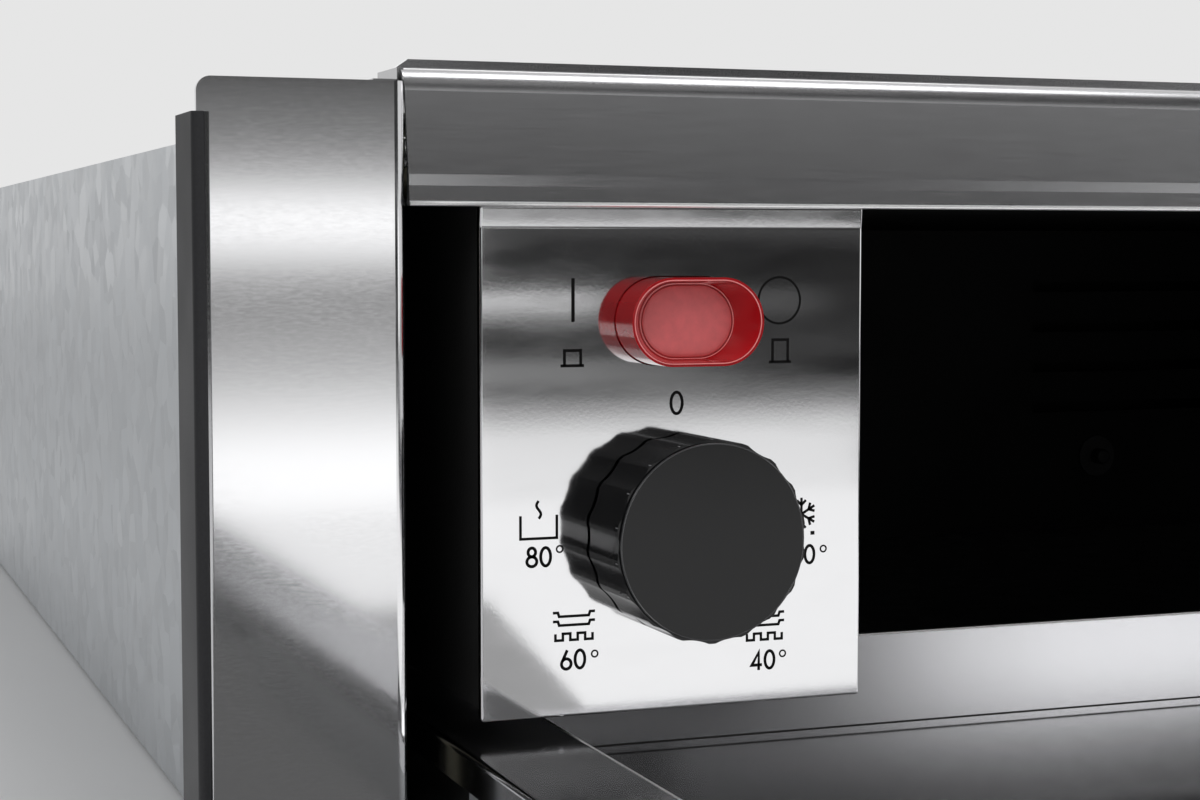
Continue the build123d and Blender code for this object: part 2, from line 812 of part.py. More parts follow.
def selector_knob():
    """The round knob: shallow scallops round its side, a plain round cap in front, hollow behind its face."""
    knob_back = plate_front - knob_gap
    knob_front = plate_front - knob_projection
    depth = knob_back - knob_front
    # Each scallop is an arc whose chord spans one pitch of the rim and whose sagitta is its depth.
    half_chord = knob_radius * radians(180 / knob_scallops)
    scallop_radius = (half_chord**2 + knob_scallop_depth**2) / (2 * knob_scallop_depth)
    outline = Circle(knob_radius)
    for index in range(knob_scallops):
        turn = Rot(0, 0, index * 360 / knob_scallops)
        outline -= turn * Pos(knob_radius - knob_scallop_depth + scallop_radius, 0) * Circle(scallop_radius)
    body = extrude(outline, amount=depth - knob_cap)
    cap = extrude(Circle(knob_cap_radius), amount=depth)
    body += chamfer(cap.edges().sort_by(Axis.Z)[-1], knob_edge)
    pocket_radius = knob_radius - knob_scallop_depth - knob_wall
    pocket_depth = depth - knob_face
    pocket = Circle(pocket_radius) - Circle(knob_boss_radius)
    pocket -= Rectangle(2 * pocket_radius, knob_rib)
    pocket -= Rectangle(knob_rib, 2 * pocket_radius)
    body -= extrude(pocket, amount=pocket_depth)
    knob = Pos(control_x, knob_back, knob_height_z) * Rot(X=90) * body
    radius = shaft_radius + knob_bore_clearance
    flat = shaft_flat + knob_bore_clearance
    bore_front = knob_back - shaft_grip - knob_bore_clearance
    return knob - along_y(shaft_outline(radius, flat), bore_front, knob_back)


def power_button():
    """The red push button: a stadium cap with a deep dish, a retaining flange and a stem."""
    tip = plate_front - button_projection
    flange_front = box_inner_front + button_flange_gap
    flange_back = flange_front + button_flange
    button = along_y(stadium(button_width, button_depth_z), tip, flange_front)
    rim_width = button_width - 2 * button_rim
    rim_depth = button_depth_z - 2 * button_rim
    mouth = Plane(origin=(0, tip, 0), x_dir=(1, 0, 0), z_dir=(0, -1, 0))
    floor = Plane(origin=(0, tip + button_dish, 0), x_dir=(1, 0, 0), z_dir=(0, -1, 0))
    dish = loft([mouth * stadium(rim_width, rim_depth), floor * stadium(button_floor_width, button_floor_depth_z)])
    button -= dish
    margin = 2 * button_flange_margin
    button += along_y(stadium(button_width + margin, button_depth_z + margin), flange_front, flange_back)
    half_x = button_stem_width / 2
    half_z = button_stem_depth_z / 2
    stem_end = switch_front() + button_stem_engagement
    button += block(
        (control_x - half_x, control_x + half_x),
        (flange_back, stem_end),
        (button_height_z - half_z, button_height_z + half_z),
    )
    return button


def switch_front():
    """The front face of the switch, clear of the button's flange when the button is pressed."""
    return box_inner_front + button_flange_gap + button_flange + button_travel + switch_gap


def switch_body():
    """The mains switch, standing off the box's front wall on two legs, with the stem's guide."""
    front = switch_front()
    back = front + switch_length
    half_x = switch_width / 2
    half_z = switch_depth_z / 2
    body = block(
        (control_x - half_x, control_x + half_x),
        (front, back),
        (button_height_z - half_z, button_height_z + half_z),
    )
    for side in (-1, 1):
        leg_x = sorted((control_x + side * half_x, control_x + side * (half_x - switch_leg)))
        leg_z = (button_height_z - switch_leg_depth_z / 2, button_height_z + switch_leg_depth_z / 2)
        body += block(leg_x, (box_inner_front, front), leg_z)
        body += terminal_tab(control_x + side * half_x / 2, back, button_height_z)
    guide_x = button_stem_width / 2 + stem_clearance
    guide_z = button_stem_depth_z / 2 + stem_clearance
    guide_end = front + button_stem_engagement + button_travel + switch_gap
    body -= block(
        (control_x - guide_x, control_x + guide_x),
        (front, guide_end),
        (button_height_z - guide_z, button_height_z + guide_z),
    )
    return body


def button_spring():
    """The coil spring between the button's flange and the switch, of six-sided wire."""
    start = box_inner_front + button_flange_gap + button_flange + spring_wire_radius
    length = switch_front() - start - spring_wire_radius
    helix = Helix(pitch=length / spring_turns, height=length, radius=spring_radius)
    wire_plane = Plane(origin=helix @ 0, z_dir=helix % 0)
    coil = sweep(wire_plane * RegularPolygon(spring_wire_radius, wire_sides), path=helix)
    return Pos(control_x, start, button_height_z) * Rot(X=-90) * coil


# ---------------------------------------------------------------------------
# Drawer
# ---------------------------------------------------------------------------

def tray_screw_places():
    """Centres of the screws between tray and front panel, as X."""
    first = -(tray_screw_count - 1) * tray_screw_spread / 2
    return [first + index * tray_screw_spread for index in range(tray_screw_count)]


def drawer_tray():
    """The folded steel tray: floor and side walls, with a broad rim out over each slide."""
    lip_end = tray_wall_top - tray_lip
    surface = [
        (-rim_half, lip_end),
        (-rim_half, tray_wall_top),
        (-tray_half, tray_wall_top),
        (-tray_half, tray_floor),
        (tray_half, tray_floor),
        (tray_half, tray_wall_top),
        (rim_half, tray_wall_top),
        (rim_half, lip_end),
    ]
    bends = [tray_rim_bend, tray_rim_bend, tray_bend]
    section = bent_sheet(surface, bends + bends[::-1], tray_sheet, Side.RIGHT)
    return along_y(section, tray_front - tray_sheet, tray_back + tray_sheet)


def tray_end_wall(y_start, y_end):
    """An end wall standing on the tray's floor between its side walls, with corners that fit the bends."""
    wall = Pos(0, (tray_floor + tray_wall_top) / 2) * Rectangle(2 * tray_half, tray_wall_top - tray_floor)
    wall = fillet(wall.vertices().sort_by(Axis.Y)[:2], tray_bend)
    return along_y(wall, y_start, y_end)


def tray_back_wall():
    """The tray's back wall, hemmed along its top edge."""
    wall = tray_end_wall(tray_back, tray_back + tray_sheet)
    hem_y = (tray_back + tray_sheet / 2, tray_back + 2 * tray_sheet)
    wall += block((-tray_half, tray_half), hem_y, (tray_wall_top - tray_hem, tray_wall_top))
    return fillet(wall.edges().filter_by(Axis.X).group_by(Axis.Z)[-1], tray_hem_edge)


def tray_front_wall():
    """The tray's front wall, screwed to the front's inner pan."""
    wall = tray_end_wall(tray_front - tray_sheet, tray_front)
    for x in tray_screw_places():
        radius = tray_screw_radius + screw_clearance
        wall -= rod_y(x, tray_screw_height, radius, tray_front - 2 * tray_sheet, tray_front + tray_sheet)
    return wall


def front_skin():
    """The outer shell of the front panel, its edges folded back and turned in."""
    shell = block((-front_half, front_half), (panel_front, panel_back), (front_bottom, front_top))
    shell = fillet(shell.edges().group_by(Axis.Y)[0], front_corner)
    inner_x = (-front_half + front_sheet, front_half - front_sheet)
    inner_z = (front_bottom + front_sheet, front_top - front_sheet)
    shell -= block(inner_x, (panel_front + front_sheet, panel_back - front_sheet), inner_z)
    mouth_x = (-front_half + front_return, front_half - front_return)
    mouth_z = (front_bottom + front_return, front_top - front_return)
    return shell - block(mouth_x, (panel_back - 2 * front_sheet, panel_back + front_sheet), mouth_z)


def inner_panel_range():
    """Lower and upper edge of the front panel's inner pan."""
    return front_bottom + inner_panel_margin_z, front_top - inner_panel_margin_z


def front_inner_panel():
    """The shallow pan inside the front panel, open towards the outer skin, that the tray is screwed to."""
    half = inner_panel_half
    z_range = inner_panel_range()
    skin = panel_front + front_sheet
    pan = block((-half, half), (skin, inner_panel_back), z_range)
    pan = fillet(pan.edges().group_by(Axis.Y)[-1], inner_panel_corner)
    inside_x = (-half + inner_panel_sheet, half - inner_panel_sheet)
    inside_z = (z_range[0] + inner_panel_sheet, z_range[1] - inner_panel_sheet)
    pan -= block(inside_x, (skin - cut_over, inner_panel_back - inner_panel_sheet), inside_z)
    for x in tray_screw_places():
        radius = tray_screw_radius + screw_clearance
        pan -= rod_y(x, tray_screw_height, radius, skin, inner_panel_back + inner_panel_sheet)
    return pan


def front_pad():
    """The insulating pad that fills the inner pan, seated against the skin."""
    half = inner_panel_half - inner_panel_sheet - pad_clearance
    low, high = inner_panel_range()
    pad_z = (low + inner_panel_sheet + pad_clearance, high - inner_panel_sheet - pad_clearance)
    skin = panel_front + front_sheet
    pad_back = inner_panel_back - inner_panel_sheet
    pad = block((-half, half), (skin, pad_back), pad_z)
    for x in tray_screw_places():
        pad -= rod_y(x, tray_screw_height, tray_screw_radius + pad_clearance, skin, pad_back)
    return pad


def tray_front_screws():
    """The screws that hold the tray's front wall to the inner pan."""
    screws = []
    for x in tray_screw_places():
        head = rod_y(x, tray_screw_height, tray_screw_head_radius, tray_front, tray_front + tray_screw_head)
        head = chamfer(head.edges().sort_by(Axis.Y)[-1], tray_screw_head / 2)
        screws.append(head + rod_y(x, tray_screw_height, tray_screw_radius, tray_front - tray_screw_length, tray_front))
    return Compound(screws)


# ---------------------------------------------------------------------------
# Telescopic slides
# ---------------------------------------------------------------------------

slide_half = slide_height / 2
outer_inside = slide_half - outer_sheet
ball_gap = 2 * (ball_radius + ball_clearance - race_depth)
outer_ball_v = outer_inside - ball_gap / 2
middle_half = outer_inside - ball_gap
inner_ball_v = middle_half - middle_sheet - ball_gap / 2
inner_half = middle_half - middle_sheet - ball_gap
race_radius = ball_radius + ball_clearance


def slide_rectangle(u_range, v_range):
    """A rectangle of the slide's section, from u and v ranges."""
    size_u = u_range[1] - u_range[0]
    size_v = v_range[1] - v_range[0]
    return Pos((u_range[0] + u_range[1]) / 2, (v_range[0] + v_range[1]) / 2) * Rectangle(size_u, size_v)


def races(u, v):
    """The two ball races above and below mid height."""
    return Pos(u, v) * Circle(race_radius) + Pos(u, -v) * Circle(race_radius)


def channel(web_u, web_v, flange_u, sheet):
    """A channel section: an upright web and a flange at its top and bottom."""
    section = slide_rectangle(web_u, (-web_v, web_v))
    section += slide_rectangle(flange_u, (web_v - sheet, web_v))
    section += slide_rectangle(flange_u, (-web_v, -web_v + sheet))
    return section


def place_section(section, length, middle_y):
    """A slide section set between bracket and tray on the left, carried along Y."""
    placed = Pos(-slide_bracket_x, slide_middle_z) * section
    return along_y(placed, middle_y - length / 2, middle_y + length / 2)


def fixed_rail():
    """The cabinet member, on the bracket."""
    section = channel((0, outer_sheet), slide_half, (0, outer_flange), outer_sheet)
    section -= races(outer_ball_u, outer_ball_v)
    return place_section(section, slide_length, slide_front + slide_length / 2)


def middle_rail():
    """The middle member, which travels half as far as the drawer."""
    web_u = (middle_web_u, middle_web_u + middle_sheet)
    section = channel(web_u, middle_half, (middle_web_u, middle_flange_u), middle_sheet)
    section -= races(outer_ball_u, outer_ball_v)
    section -= races(inner_ball_u, inner_ball_v)
    return place_section(section, middle_length, slide_front + middle_length / 2)


def drawer_rail():
    """The drawer member, on the tray's side wall."""
    web_u = (slide_width - inner_sheet, slide_width)
    section = channel(web_u, inner_half, (inner_flange_u, slide_width), inner_sheet)
    section -= races(inner_ball_u, inner_ball_v)
    return place_section(section, slide_length, slide_front + slide_length / 2)


def cage_ball_places():
    """Where the balls sit along a cage."""
    first = cage_middle_y - (cage_balls - 1) * cage_ball_pitch / 2
    return [first + index * cage_ball_pitch for index in range(cage_balls)]


def ball_cage(web_u, ball_u, ball_v):
    """A folded strip with a row of ball pockets along its top and bottom edge."""
    half = ball_v + cage_sheet / 2
    section = channel((web_u, web_u + cage_sheet), half, (web_u, ball_u + cage_margin), cage_sheet)
    cage = place_section(section, cage_length, cage_middle_y)
    for y in cage_ball_places():
        x = -slide_bracket_x + ball_u
        hole = ball_radius + cage_hole_clearance
        cage -= rod_z(x, y, hole, slide_middle_z - slide_half, slide_middle_z + slide_half)
    return cage


def ball_set(ball_u, ball_v):
    """The balls of one cage, as separate solids."""
    balls = []
    for y in cage_ball_places():
        for side in (-1, 1):
            centre = Pos(-slide_bracket_x + ball_u, y, slide_middle_z + side * ball_v)
            balls.append(centre * Sphere(ball_radius))
    return balls


def slide_bracket():
    """The angle that carries the cabinet member, its foot on the housing's floor."""
    wall_x = -slide_bracket_x
    foot_x = wall_x - bracket_foot
    surface = [(foot_x, case_sheet), (wall_x, case_sheet), (wall_x, bracket_height)]
    section = bent_sheet(surface, bracket_bend, bracket_sheet, Side.LEFT)
    return along_y(section, slide_front, slide_front + slide_length)


# ---------------------------------------------------------------------------
# Push catch and mains inlet
# ---------------------------------------------------------------------------

def catch_body():
    """The push catch's barrel through the baffle, with a collar in front of it."""
    collar = (baffle_front - catch_collar, baffle_front)
    body = rod_y(catch_x, catch_height, catch_collar_radius, *collar)
    body += rod_y(catch_x, catch_height, catch_radius, collar[0], collar[0] + catch_length)
    bore_end = collar[0] + plunger_in_body + plunger_end_gap
    return body - rod_y(catch_x, catch_height, plunger_radius + bearing_clearance, collar[0], bore_end)


def plunger_tip():
    """The plunger's tip, just behind the closed tray."""
    return tray_back + 2 * tray_sheet + plunger_gap


def catch_plunger():
    """The catch's plunger, pushed in by the tray when the closed front is pressed."""
    end = baffle_front - catch_collar + plunger_in_body
    plunger = rod_y(catch_x, catch_height, plunger_radius, plunger_tip(), end)
    return fillet(plunger.edges().filter_by(GeomType.CIRCLE).sort_by(Axis.Y)[0], plunger_nose)


def cable_gland():
    """The mains inlet's gland, through the rear panel, with a free bore for a cable."""
    head = rod_y(gland_x, gland_height, gland_head_radius, back_y, back_y + gland_head_length)
    head = chamfer(head.edges().filter_by(GeomType.CIRCLE).sort_by(Axis.Y)[-1], gland_nose)
    thread_y = (back_y - gland_thread_length, back_y)
    gland = head + rod_y(gland_x, gland_height, gland_thread_radius, *thread_y)
    bore_y = (thread_y[0], back_y + gland_head_length)
    return gland - rod_y(gland_x, gland_height, gland_bore_radius, *bore_y)


def gland_locknut():
    """The nut that clamps the gland to the rear panel from inside."""
    inner_face = back_y - case_sheet
    outline = Pos(gland_x, gland_height) * RegularPolygon(gland_nut_size / 2, 6, major_radius=False)
    outline -= Pos(gland_x, gland_height) * Circle(gland_thread_radius + bearing_clearance)
    return along_y(outline, inner_face - gland_nut_length, inner_face)


def terminal_block():
    """The mains terminal block on the floor, with a wire funnel and a screw well for each pole."""
    back = back_y - block_back_gap
    front = back - block_depth
    top = case_sheet + block_height
    left = block_x - block_width / 2
    terminal = block((left, left + block_width), (front, back), (case_sheet, top))
    pitch = block_width / block_poles
    for index in range(block_poles):
        x = left + (index + 0.5) * pitch
        z = case_sheet + block_height / 2
        terminal -= rod_y(x, z, block_funnel_radius, back - block_funnel_depth, back)
        terminal -= rod_z(x, (front + back) / 2, block_funnel_radius, top - block_funnel_depth, top)
    return terminal


# ---------------------------------------------------------------------------
# Assembly
# ---------------------------------------------------------------------------

def left_pieces():
    """Every left-hand piece that has a right-hand twin, in the place it has at rest."""
    outer_share = middle_share / 2
    inner_share = (1 + middle_share) / 2
    outer_balls = [opened(ball, outer_share) for ball in ball_set(outer_ball_u, outer_ball_v)]
    inner_balls = [opened(ball, inner_share) for ball in ball_set(inner_ball_u, inner_ball_v)]
    return {
        "stile": left_stile(),
        "edge_trim": left_edge_trim(),
        "slide_bracket": slide_bracket(),
        "slide_fixed_rail": fixed_rail(),
        "slide_middle_rail": opened(middle_rail(), middle_share),
        "slide_drawer_rail": opened(drawer_rail()),
        "outer_ball_cage": opened(ball_cage(outer_cage_u, outer_ball_u, outer_ball_v), outer_share),
        "inner_ball_cage": opened(ball_cage(inner_cage_u, inner_ball_u, inner_ball_v), inner_share),
        "outer_balls": Compound(outer_balls),
        "inner_balls": Compound(inner_balls),
    }


def all_pieces():
    """Every node of the assembly by name."""
    pieces = {
        "base_pan": base_pan(),
        "top_cover": top_cover(),
        "rear_panel": rear_panel(),
        "bottom_rail": bottom_rail(),
        "top_bar": top_bar(),
        "bar_end_screws": bar_end_screws(),
        "chamber_liner": chamber_liner(),
        "liner_back_wall": liner_back_wall(),
        "insulation_blanket": insulation_blanket(),
        "rear_baffle": rear_baffle(),
        "fan_impeller": fan_impeller(),
        "fan_shaft": fan_shaft(),
        "fan_motor": fan_motor(),
        "heating_element": heating_element(),
        "thermal_cutout": thermal_cutout(),
        "control_plate": control_plate(),
        "control_box": control_box(),
        "thermostat_body": thermostat_body(),
        "selector_shaft": selector_shaft(),
        "selector_knob": selector_knob(),
        "power_button": power_button(),
        "switch_body": switch_body(),
        "button_spring": button_spring(),
        "drawer_tray": opened(drawer_tray()),
        "tray_back_wall": opened(tray_back_wall()),
        "tray_front_wall": opened(tray_front_wall()),
        "front_skin": opened(front_skin()),
        "front_inner_panel": opened(front_inner_panel()),
        "front_pad": opened(front_pad()),
        "tray_front_screws": opened(tray_front_screws()),
        "catch_body": catch_body(),
        "catch_plunger": catch_plunger(),
        "cable_gland": cable_gland(),
        "gland_locknut": gland_locknut(),
        "terminal_block": terminal_block(),
    }
    for name, piece in left_pieces().items():
        pieces["left_" + name] = piece
        pieces["right_" + name] = mirrored(piece)
    return pieces


os.makedirs("parts", exist_ok=True)
for node, shape in all_pieces().items():
    export_step(shape, f"parts/{node}.step")
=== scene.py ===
import json
import math

import bpy
import numpy as np
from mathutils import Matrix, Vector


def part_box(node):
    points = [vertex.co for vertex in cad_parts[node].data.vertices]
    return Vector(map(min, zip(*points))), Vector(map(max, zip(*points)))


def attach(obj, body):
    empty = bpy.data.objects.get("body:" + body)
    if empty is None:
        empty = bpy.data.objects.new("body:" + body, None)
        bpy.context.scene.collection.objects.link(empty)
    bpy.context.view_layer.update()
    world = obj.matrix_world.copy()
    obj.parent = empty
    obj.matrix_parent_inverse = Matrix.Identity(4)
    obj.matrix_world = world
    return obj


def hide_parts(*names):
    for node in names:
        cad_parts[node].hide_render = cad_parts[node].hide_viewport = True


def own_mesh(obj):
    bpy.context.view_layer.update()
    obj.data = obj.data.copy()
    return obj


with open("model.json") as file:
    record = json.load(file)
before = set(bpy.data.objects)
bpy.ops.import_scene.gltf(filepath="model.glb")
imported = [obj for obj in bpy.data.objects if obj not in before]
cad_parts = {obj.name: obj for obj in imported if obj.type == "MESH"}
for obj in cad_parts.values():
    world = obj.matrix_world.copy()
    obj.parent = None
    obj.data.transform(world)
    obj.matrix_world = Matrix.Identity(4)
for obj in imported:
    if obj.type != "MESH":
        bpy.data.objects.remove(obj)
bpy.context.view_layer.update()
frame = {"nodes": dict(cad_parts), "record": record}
nodes = frame["nodes"]
MM = 0.001


# ---------------------------------------------------------------------------
# Camera
# ---------------------------------------------------------------------------

CAMERA_PLACE = (-0.3545, -0.5892, 0.1131)
CAMERA_TURN = (86.17, 0.0, -20.5)
CAMERA_LENS = 67.72


def make_camera():
    """The viewpoint of the photograph, between the drawer's front and the housing, on the left."""
    data = bpy.data.cameras.new("camera")
    data.lens = CAMERA_LENS
    data.sensor_width = 36.0
    data.clip_start = 0.01
    camera = bpy.data.objects.new("camera", data)
    camera.location = CAMERA_PLACE
    camera.rotation_euler = [math.radians(a) for a in CAMERA_TURN]
    bpy.context.scene.collection.objects.link(camera)
    bpy.context.scene.camera = camera


# ---------------------------------------------------------------------------
# Materials
# ---------------------------------------------------------------------------

def add(tree, kind, inputs=(), **settings):
    """A shader node with its settings and inputs; an input is a value, or a socket to link."""
    node = tree.nodes.new(kind)
    for key, value in settings.items():
        setattr(node, key, value)
    for key, value in dict(inputs).items():
        if isinstance(value, bpy.types.NodeSocket):
            tree.links.new(value, node.inputs[key])
        else:
            node.inputs[key].default_value = value
    return node


def new_material(name, **shader_values):
    """A material with one glossy shader, whose plain values are set on the shader's own sockets."""
    material = bpy.data.materials.new(name)
    material.use_nodes = True
    shader = material.node_tree.nodes["Principled BSDF"]
    for key, value in shader_values.items():
        shader.inputs[key.replace("_", " ")].default_value = value
    return material, material.node_tree, shader


def place(tree, stretch):
    """Object coordinates, scaled along each axis."""
    coordinates = add(tree, "ShaderNodeTexCoord")
    mapping = add(tree, "ShaderNodeMapping", {"Vector": coordinates.outputs["Object"], "Scale": stretch})
    return mapping.outputs["Vector"]


def noise(tree, stretch, detail=3.0, roughness=0.55):
    """Smooth noise over the object, stretched along each axis."""
    node = add(tree, "ShaderNodeTexNoise", {
        "Vector": place(tree, stretch), "Scale": 1.0, "Detail": detail, "Roughness": roughness})
    return node.outputs["Fac"]


def spread(tree, value, low, high, from_low=0.3, from_high=0.7):
    """A value carried from one range to another."""
    node = add(tree, "ShaderNodeMapRange", {
        "Value": value, "From Min": from_low, "From Max": from_high, "To Min": low, "To Max": high})
    return node.outputs["Result"]


def tint(tree, factor, dark, light):
    """A colour between two, by a factor. The mix node's colour sockets are its seventh and eighth."""
    node = add(tree, "ShaderNodeMix", {0: factor, 6: (*dark, 1), 7: (*light, 1)}, data_type="RGBA")
    return node.outputs[2]


def relief(tree, height, strength, distance):
    """A bump from a height."""
    bump = add(tree, "ShaderNodeBump", {"Height": height, "Strength": strength, "Distance": distance})
    return bump.outputs["Normal"]


def shades(tone, dark=1.0, light=1.0):
    """A tone made darker and a tone made lighter, no channel over 1."""
    return [channel * dark for channel in tone], [min(1.0, channel * light) for channel in tone]


def link_tint(tree, shader, factor, dark, light):
    """The surface's colour goes between two tones by a factor."""
    tree.links.new(tint(tree, factor, dark, light), shader.inputs["Base Color"])


def steel(name, tone, roughness, grain, grain_depth, blotch=0.05, strength=0.35):
    """Sheet steel with a ground grain: fine streaks, slow blotches in its gloss, and a little depth."""
    material, tree, shader = new_material(name, Metallic=1.0)
    streaks = noise(tree, grain, detail=3.0, roughness=0.6)
    cloud = noise(tree, (9, 9, 9), detail=1.0)
    link_tint(tree, shader, spread(tree, streaks, 0, 1), *shades(tone, 1 - blotch, 1 + blotch))
    both = add(tree, "ShaderNodeMath", {0: spread(tree, streaks, -0.02, 0.02), 1: spread(tree, cloud, -0.015, 0.015)})
    total = add(tree, "ShaderNodeMath", {0: both.outputs[0], 1: roughness})
    tree.links.new(total.outputs[0], shader.inputs["Roughness"])
    tree.links.new(relief(tree, streaks, strength, grain_depth), shader.inputs["Normal"])
    return material


def galvanised(name, tone):
    """Zinc-coated sheet: a spangle of crystals that differ in tone and gloss."""
    material, tree, shader = new_material(name, Metallic=1.0)
    cells = add(tree, "ShaderNodeTexVoronoi", {"Vector": place(tree, (150, 150, 150)), "Scale": 1.0})
    grey = add(tree, "ShaderNodeSeparateColor", {"Color": cells.outputs["Color"]})
    link_tint(tree, shader, grey.outputs[0], *shades(tone, dark=0.86))
    tree.links.new(spread(tree, grey.outputs[1], 0.32, 0.46, 0, 1), shader.inputs["Roughness"])
    fine = noise(tree, (900, 900, 900))
    tree.links.new(relief(tree, fine, 0.2, 0.0001), shader.inputs["Normal"])
    return material


def painted(name, tone, roughness, speck, coarse, depth, shine=0.5):
    """A coated or moulded surface: an orange-peel or grained relief and a little unevenness in its gloss."""
    material, tree, shader = new_material(name, Specular_IOR_Level=shine)
    peel = noise(tree, (coarse, coarse, coarse))
    link_tint(tree, shader, spread(tree, peel, 0, 1), *shades(tone, light=1 + speck))
    cloud = noise(tree, (25, 25, 25))
    tree.links.new(spread(tree, cloud, roughness * 0.85, roughness * 1.15), shader.inputs["Roughness"])
    tree.links.new(relief(tree, peel, 0.4, depth), shader.inputs["Normal"])
    return material


def polished(name, tone, roughness):
    """Mirror-polished steel with faint wipe marks."""
    material, tree, shader = new_material(name, Metallic=1.0)
    wipe = noise(tree, (60, 60, 220), detail=5.0, roughness=0.65)
    link_tint(tree, shader, spread(tree, wipe, 0, 1), *shades(tone, dark=0.97))
    tree.links.new(spread(tree, wipe, roughness * 0.8, roughness * 1.3), shader.inputs["Roughness"])
    fine = noise(tree, (1800, 1800, 1800))
    tree.links.new(relief(tree, fine, 0.06, 0.00002), shader.inputs["Normal"])
    return material


def red_plastic(name, tone, roughness, transmission):
    """Tinted clear plastic, a little cloudy inside."""
    material, tree, shader = new_material(
        name, Transmission_Weight=transmission, IOR=1.49, Coat_Weight=0.6, Coat_Roughness=0.05)
    cloud = noise(tree, (160, 160, 160))
    link_tint(tree, shader, spread(tree, cloud, 0, 1), *shades(tone, dark=0.85))
    tree.links.new(spread(tree, cloud, roughness * 0.8, roughness * 1.2), shader.inputs["Roughness"])
    return material


def wool(name, tone):
    """Matted mineral fibres."""
    material, tree, shader = new_material(name, Roughness=0.95, Sheen_Weight=0.3)
    fibres = noise(tree, (240, 700, 240), detail=6.0, roughness=0.75)
    link_tint(tree, shader, spread(tree, fibres, 0, 1), *shades(tone, dark=0.6))
    tree.links.new(relief(tree, fibres, 0.8, 0.0008), shader.inputs["Normal"])
    return material


def make_materials():
    """One finish for each material slot of the record, and those of the fine pieces. Steel has a tone, a roughness,
    the grain's stretch, its depth, its blotches and its strength. A painted one has a tone, a roughness, its specks,
    its peel's stretch, its depth and its shine."""
    long_grain, tray_grain = (150, 2500, 5000), (250, 2500, 5000)
    along_y, along_z = (6000, 60, 3000), (6000, 3000, 60)
    finishes = {
        "galvanised_steel": (galvanised, (0.62, 0.64, 0.66)),
        "brushed_steel": (steel, (0.52, 0.52, 0.53), 0.24, long_grain, 0.00001, 0.03, 0.08),
        "upright_steel": (steel, (0.70, 0.70, 0.71), 0.10, (900, 2500, 3500), 0.00001, 0.02, 0.035),
        "polished_steel": (polished, (0.75, 0.75, 0.76), 0.07),
        "tray_steel": (steel, (0.70, 0.70, 0.715), 0.12, tray_grain, 0.00001, 0.03, 0.08),
        "pan_steel": (steel, (0.72, 0.72, 0.73), 0.20, tray_grain, 0.00001, 0.03, 0.08),
        "black_enamel": (painted, (0.006, 0.006, 0.006), 0.5, 0.3, 900, 0.00003, 0.25),
        "black_paint": (painted, (0.015, 0.015, 0.015), 0.6, 0.5, 1500, 0.0001),
        "trim_grey": (painted, (0.022, 0.022, 0.024), 0.5, 0.3, 2500, 0.00005, 0.35),
        "zinc_steel": (steel, (0.68, 0.69, 0.70), 0.3, along_y, 0.00001, 0.06),
        "bearing_steel": (polished, (0.8, 0.8, 0.82), 0.1),
        "mineral_wool": (wool, (0.62, 0.58, 0.42)),
        "motor_steel": (painted, (0.3, 0.31, 0.32), 0.4, 0.2, 700, 0.0001),
        "fan_steel": (steel, (0.66, 0.67, 0.68), 0.35, along_z, 0.00001, 0.06),
        "element_steel": (steel, (0.25, 0.24, 0.23), 0.4, (200, 200, 200), 0.00005, 0.2),
        "black_gloss_plastic": (painted, (0.004, 0.004, 0.0045), 0.13, 0.2, 300, 0.00001, 0.32),
        "red_button_plastic": (red_plastic, (0.66, 0.014, 0.02), 0.08, 0.30),
        "brown_plastic": (painted, (0.16, 0.09, 0.05), 0.5, 0.3, 1200, 0.0001),
        "white_plastic": (painted, (0.75, 0.74, 0.70), 0.45, 0.05, 1200, 0.0001),
        "black_plastic": (painted, (0.02, 0.02, 0.02), 0.45, 0.3, 1500, 0.0001),
        "foil_pad": (wool, (0.5, 0.5, 0.48)),
        "spring_steel": (polished, (0.6, 0.6, 0.6), 0.2),
        "print_black": (painted, (0.003, 0.003, 0.003), 0.6, 0.3, 2500, 0.00002, 0.12),
        "screw_steel": (steel, (0.70, 0.70, 0.69), 0.28, (900, 900, 900), 0.00002, 0.08),
        # A bright steel painted as the highlight along bent edges, and a lighter black as the highlight round the
        # knob's rim.
        "ground_edge": (steel, (0.92, 0.92, 0.92), 0.42, (3000, 3000, 3000), 0.00001, 0.05, 0.1),
        "knob_edge": (painted, (0.030, 0.030, 0.032), 0.22, 0.2, 900, 0.00001, 0.8),
        # A grey painted as glints at the front ends of the knob's ridges.
        "ridge_wear": (painted, (0.26, 0.26, 0.27), 0.3, 0.2, 900, 0.00001, 0.8),
        "frosted_red": (painted, (0.80, 0.15, 0.155), 0.34, 0.12, 700, 0.00003, 0.6),
        # A pale red painted as the highlight on the button's rims.
        "button_gleam": (painted, (0.86, 0.26, 0.26), 0.12, 0.10, 700, 0.00001, 0.8),
    }
    return {name: finish(name, *values) for name, (finish, *values) in finishes.items()}


def dress_nodes(materials):
    """Every CAD node gets the finish of its slot in the record, apart from four with a finish of their own."""
    for subpart in frame["record"]["subparts"]:
        node = nodes[subpart["node"]]
        node.data.materials.clear()
        node.data.materials.append(materials[subpart["material_slot"]])
    own = {"left_stile": "upright_steel", "right_stile": "upright_steel", "front_inner_panel": "pan_steel",
           "catch_plunger": "black_plastic"}
    for name, finish in own.items():
        nodes[name].data.materials[0] = materials[finish]


# ---------------------------------------------------------------------------
# Mesh building
# ---------------------------------------------------------------------------

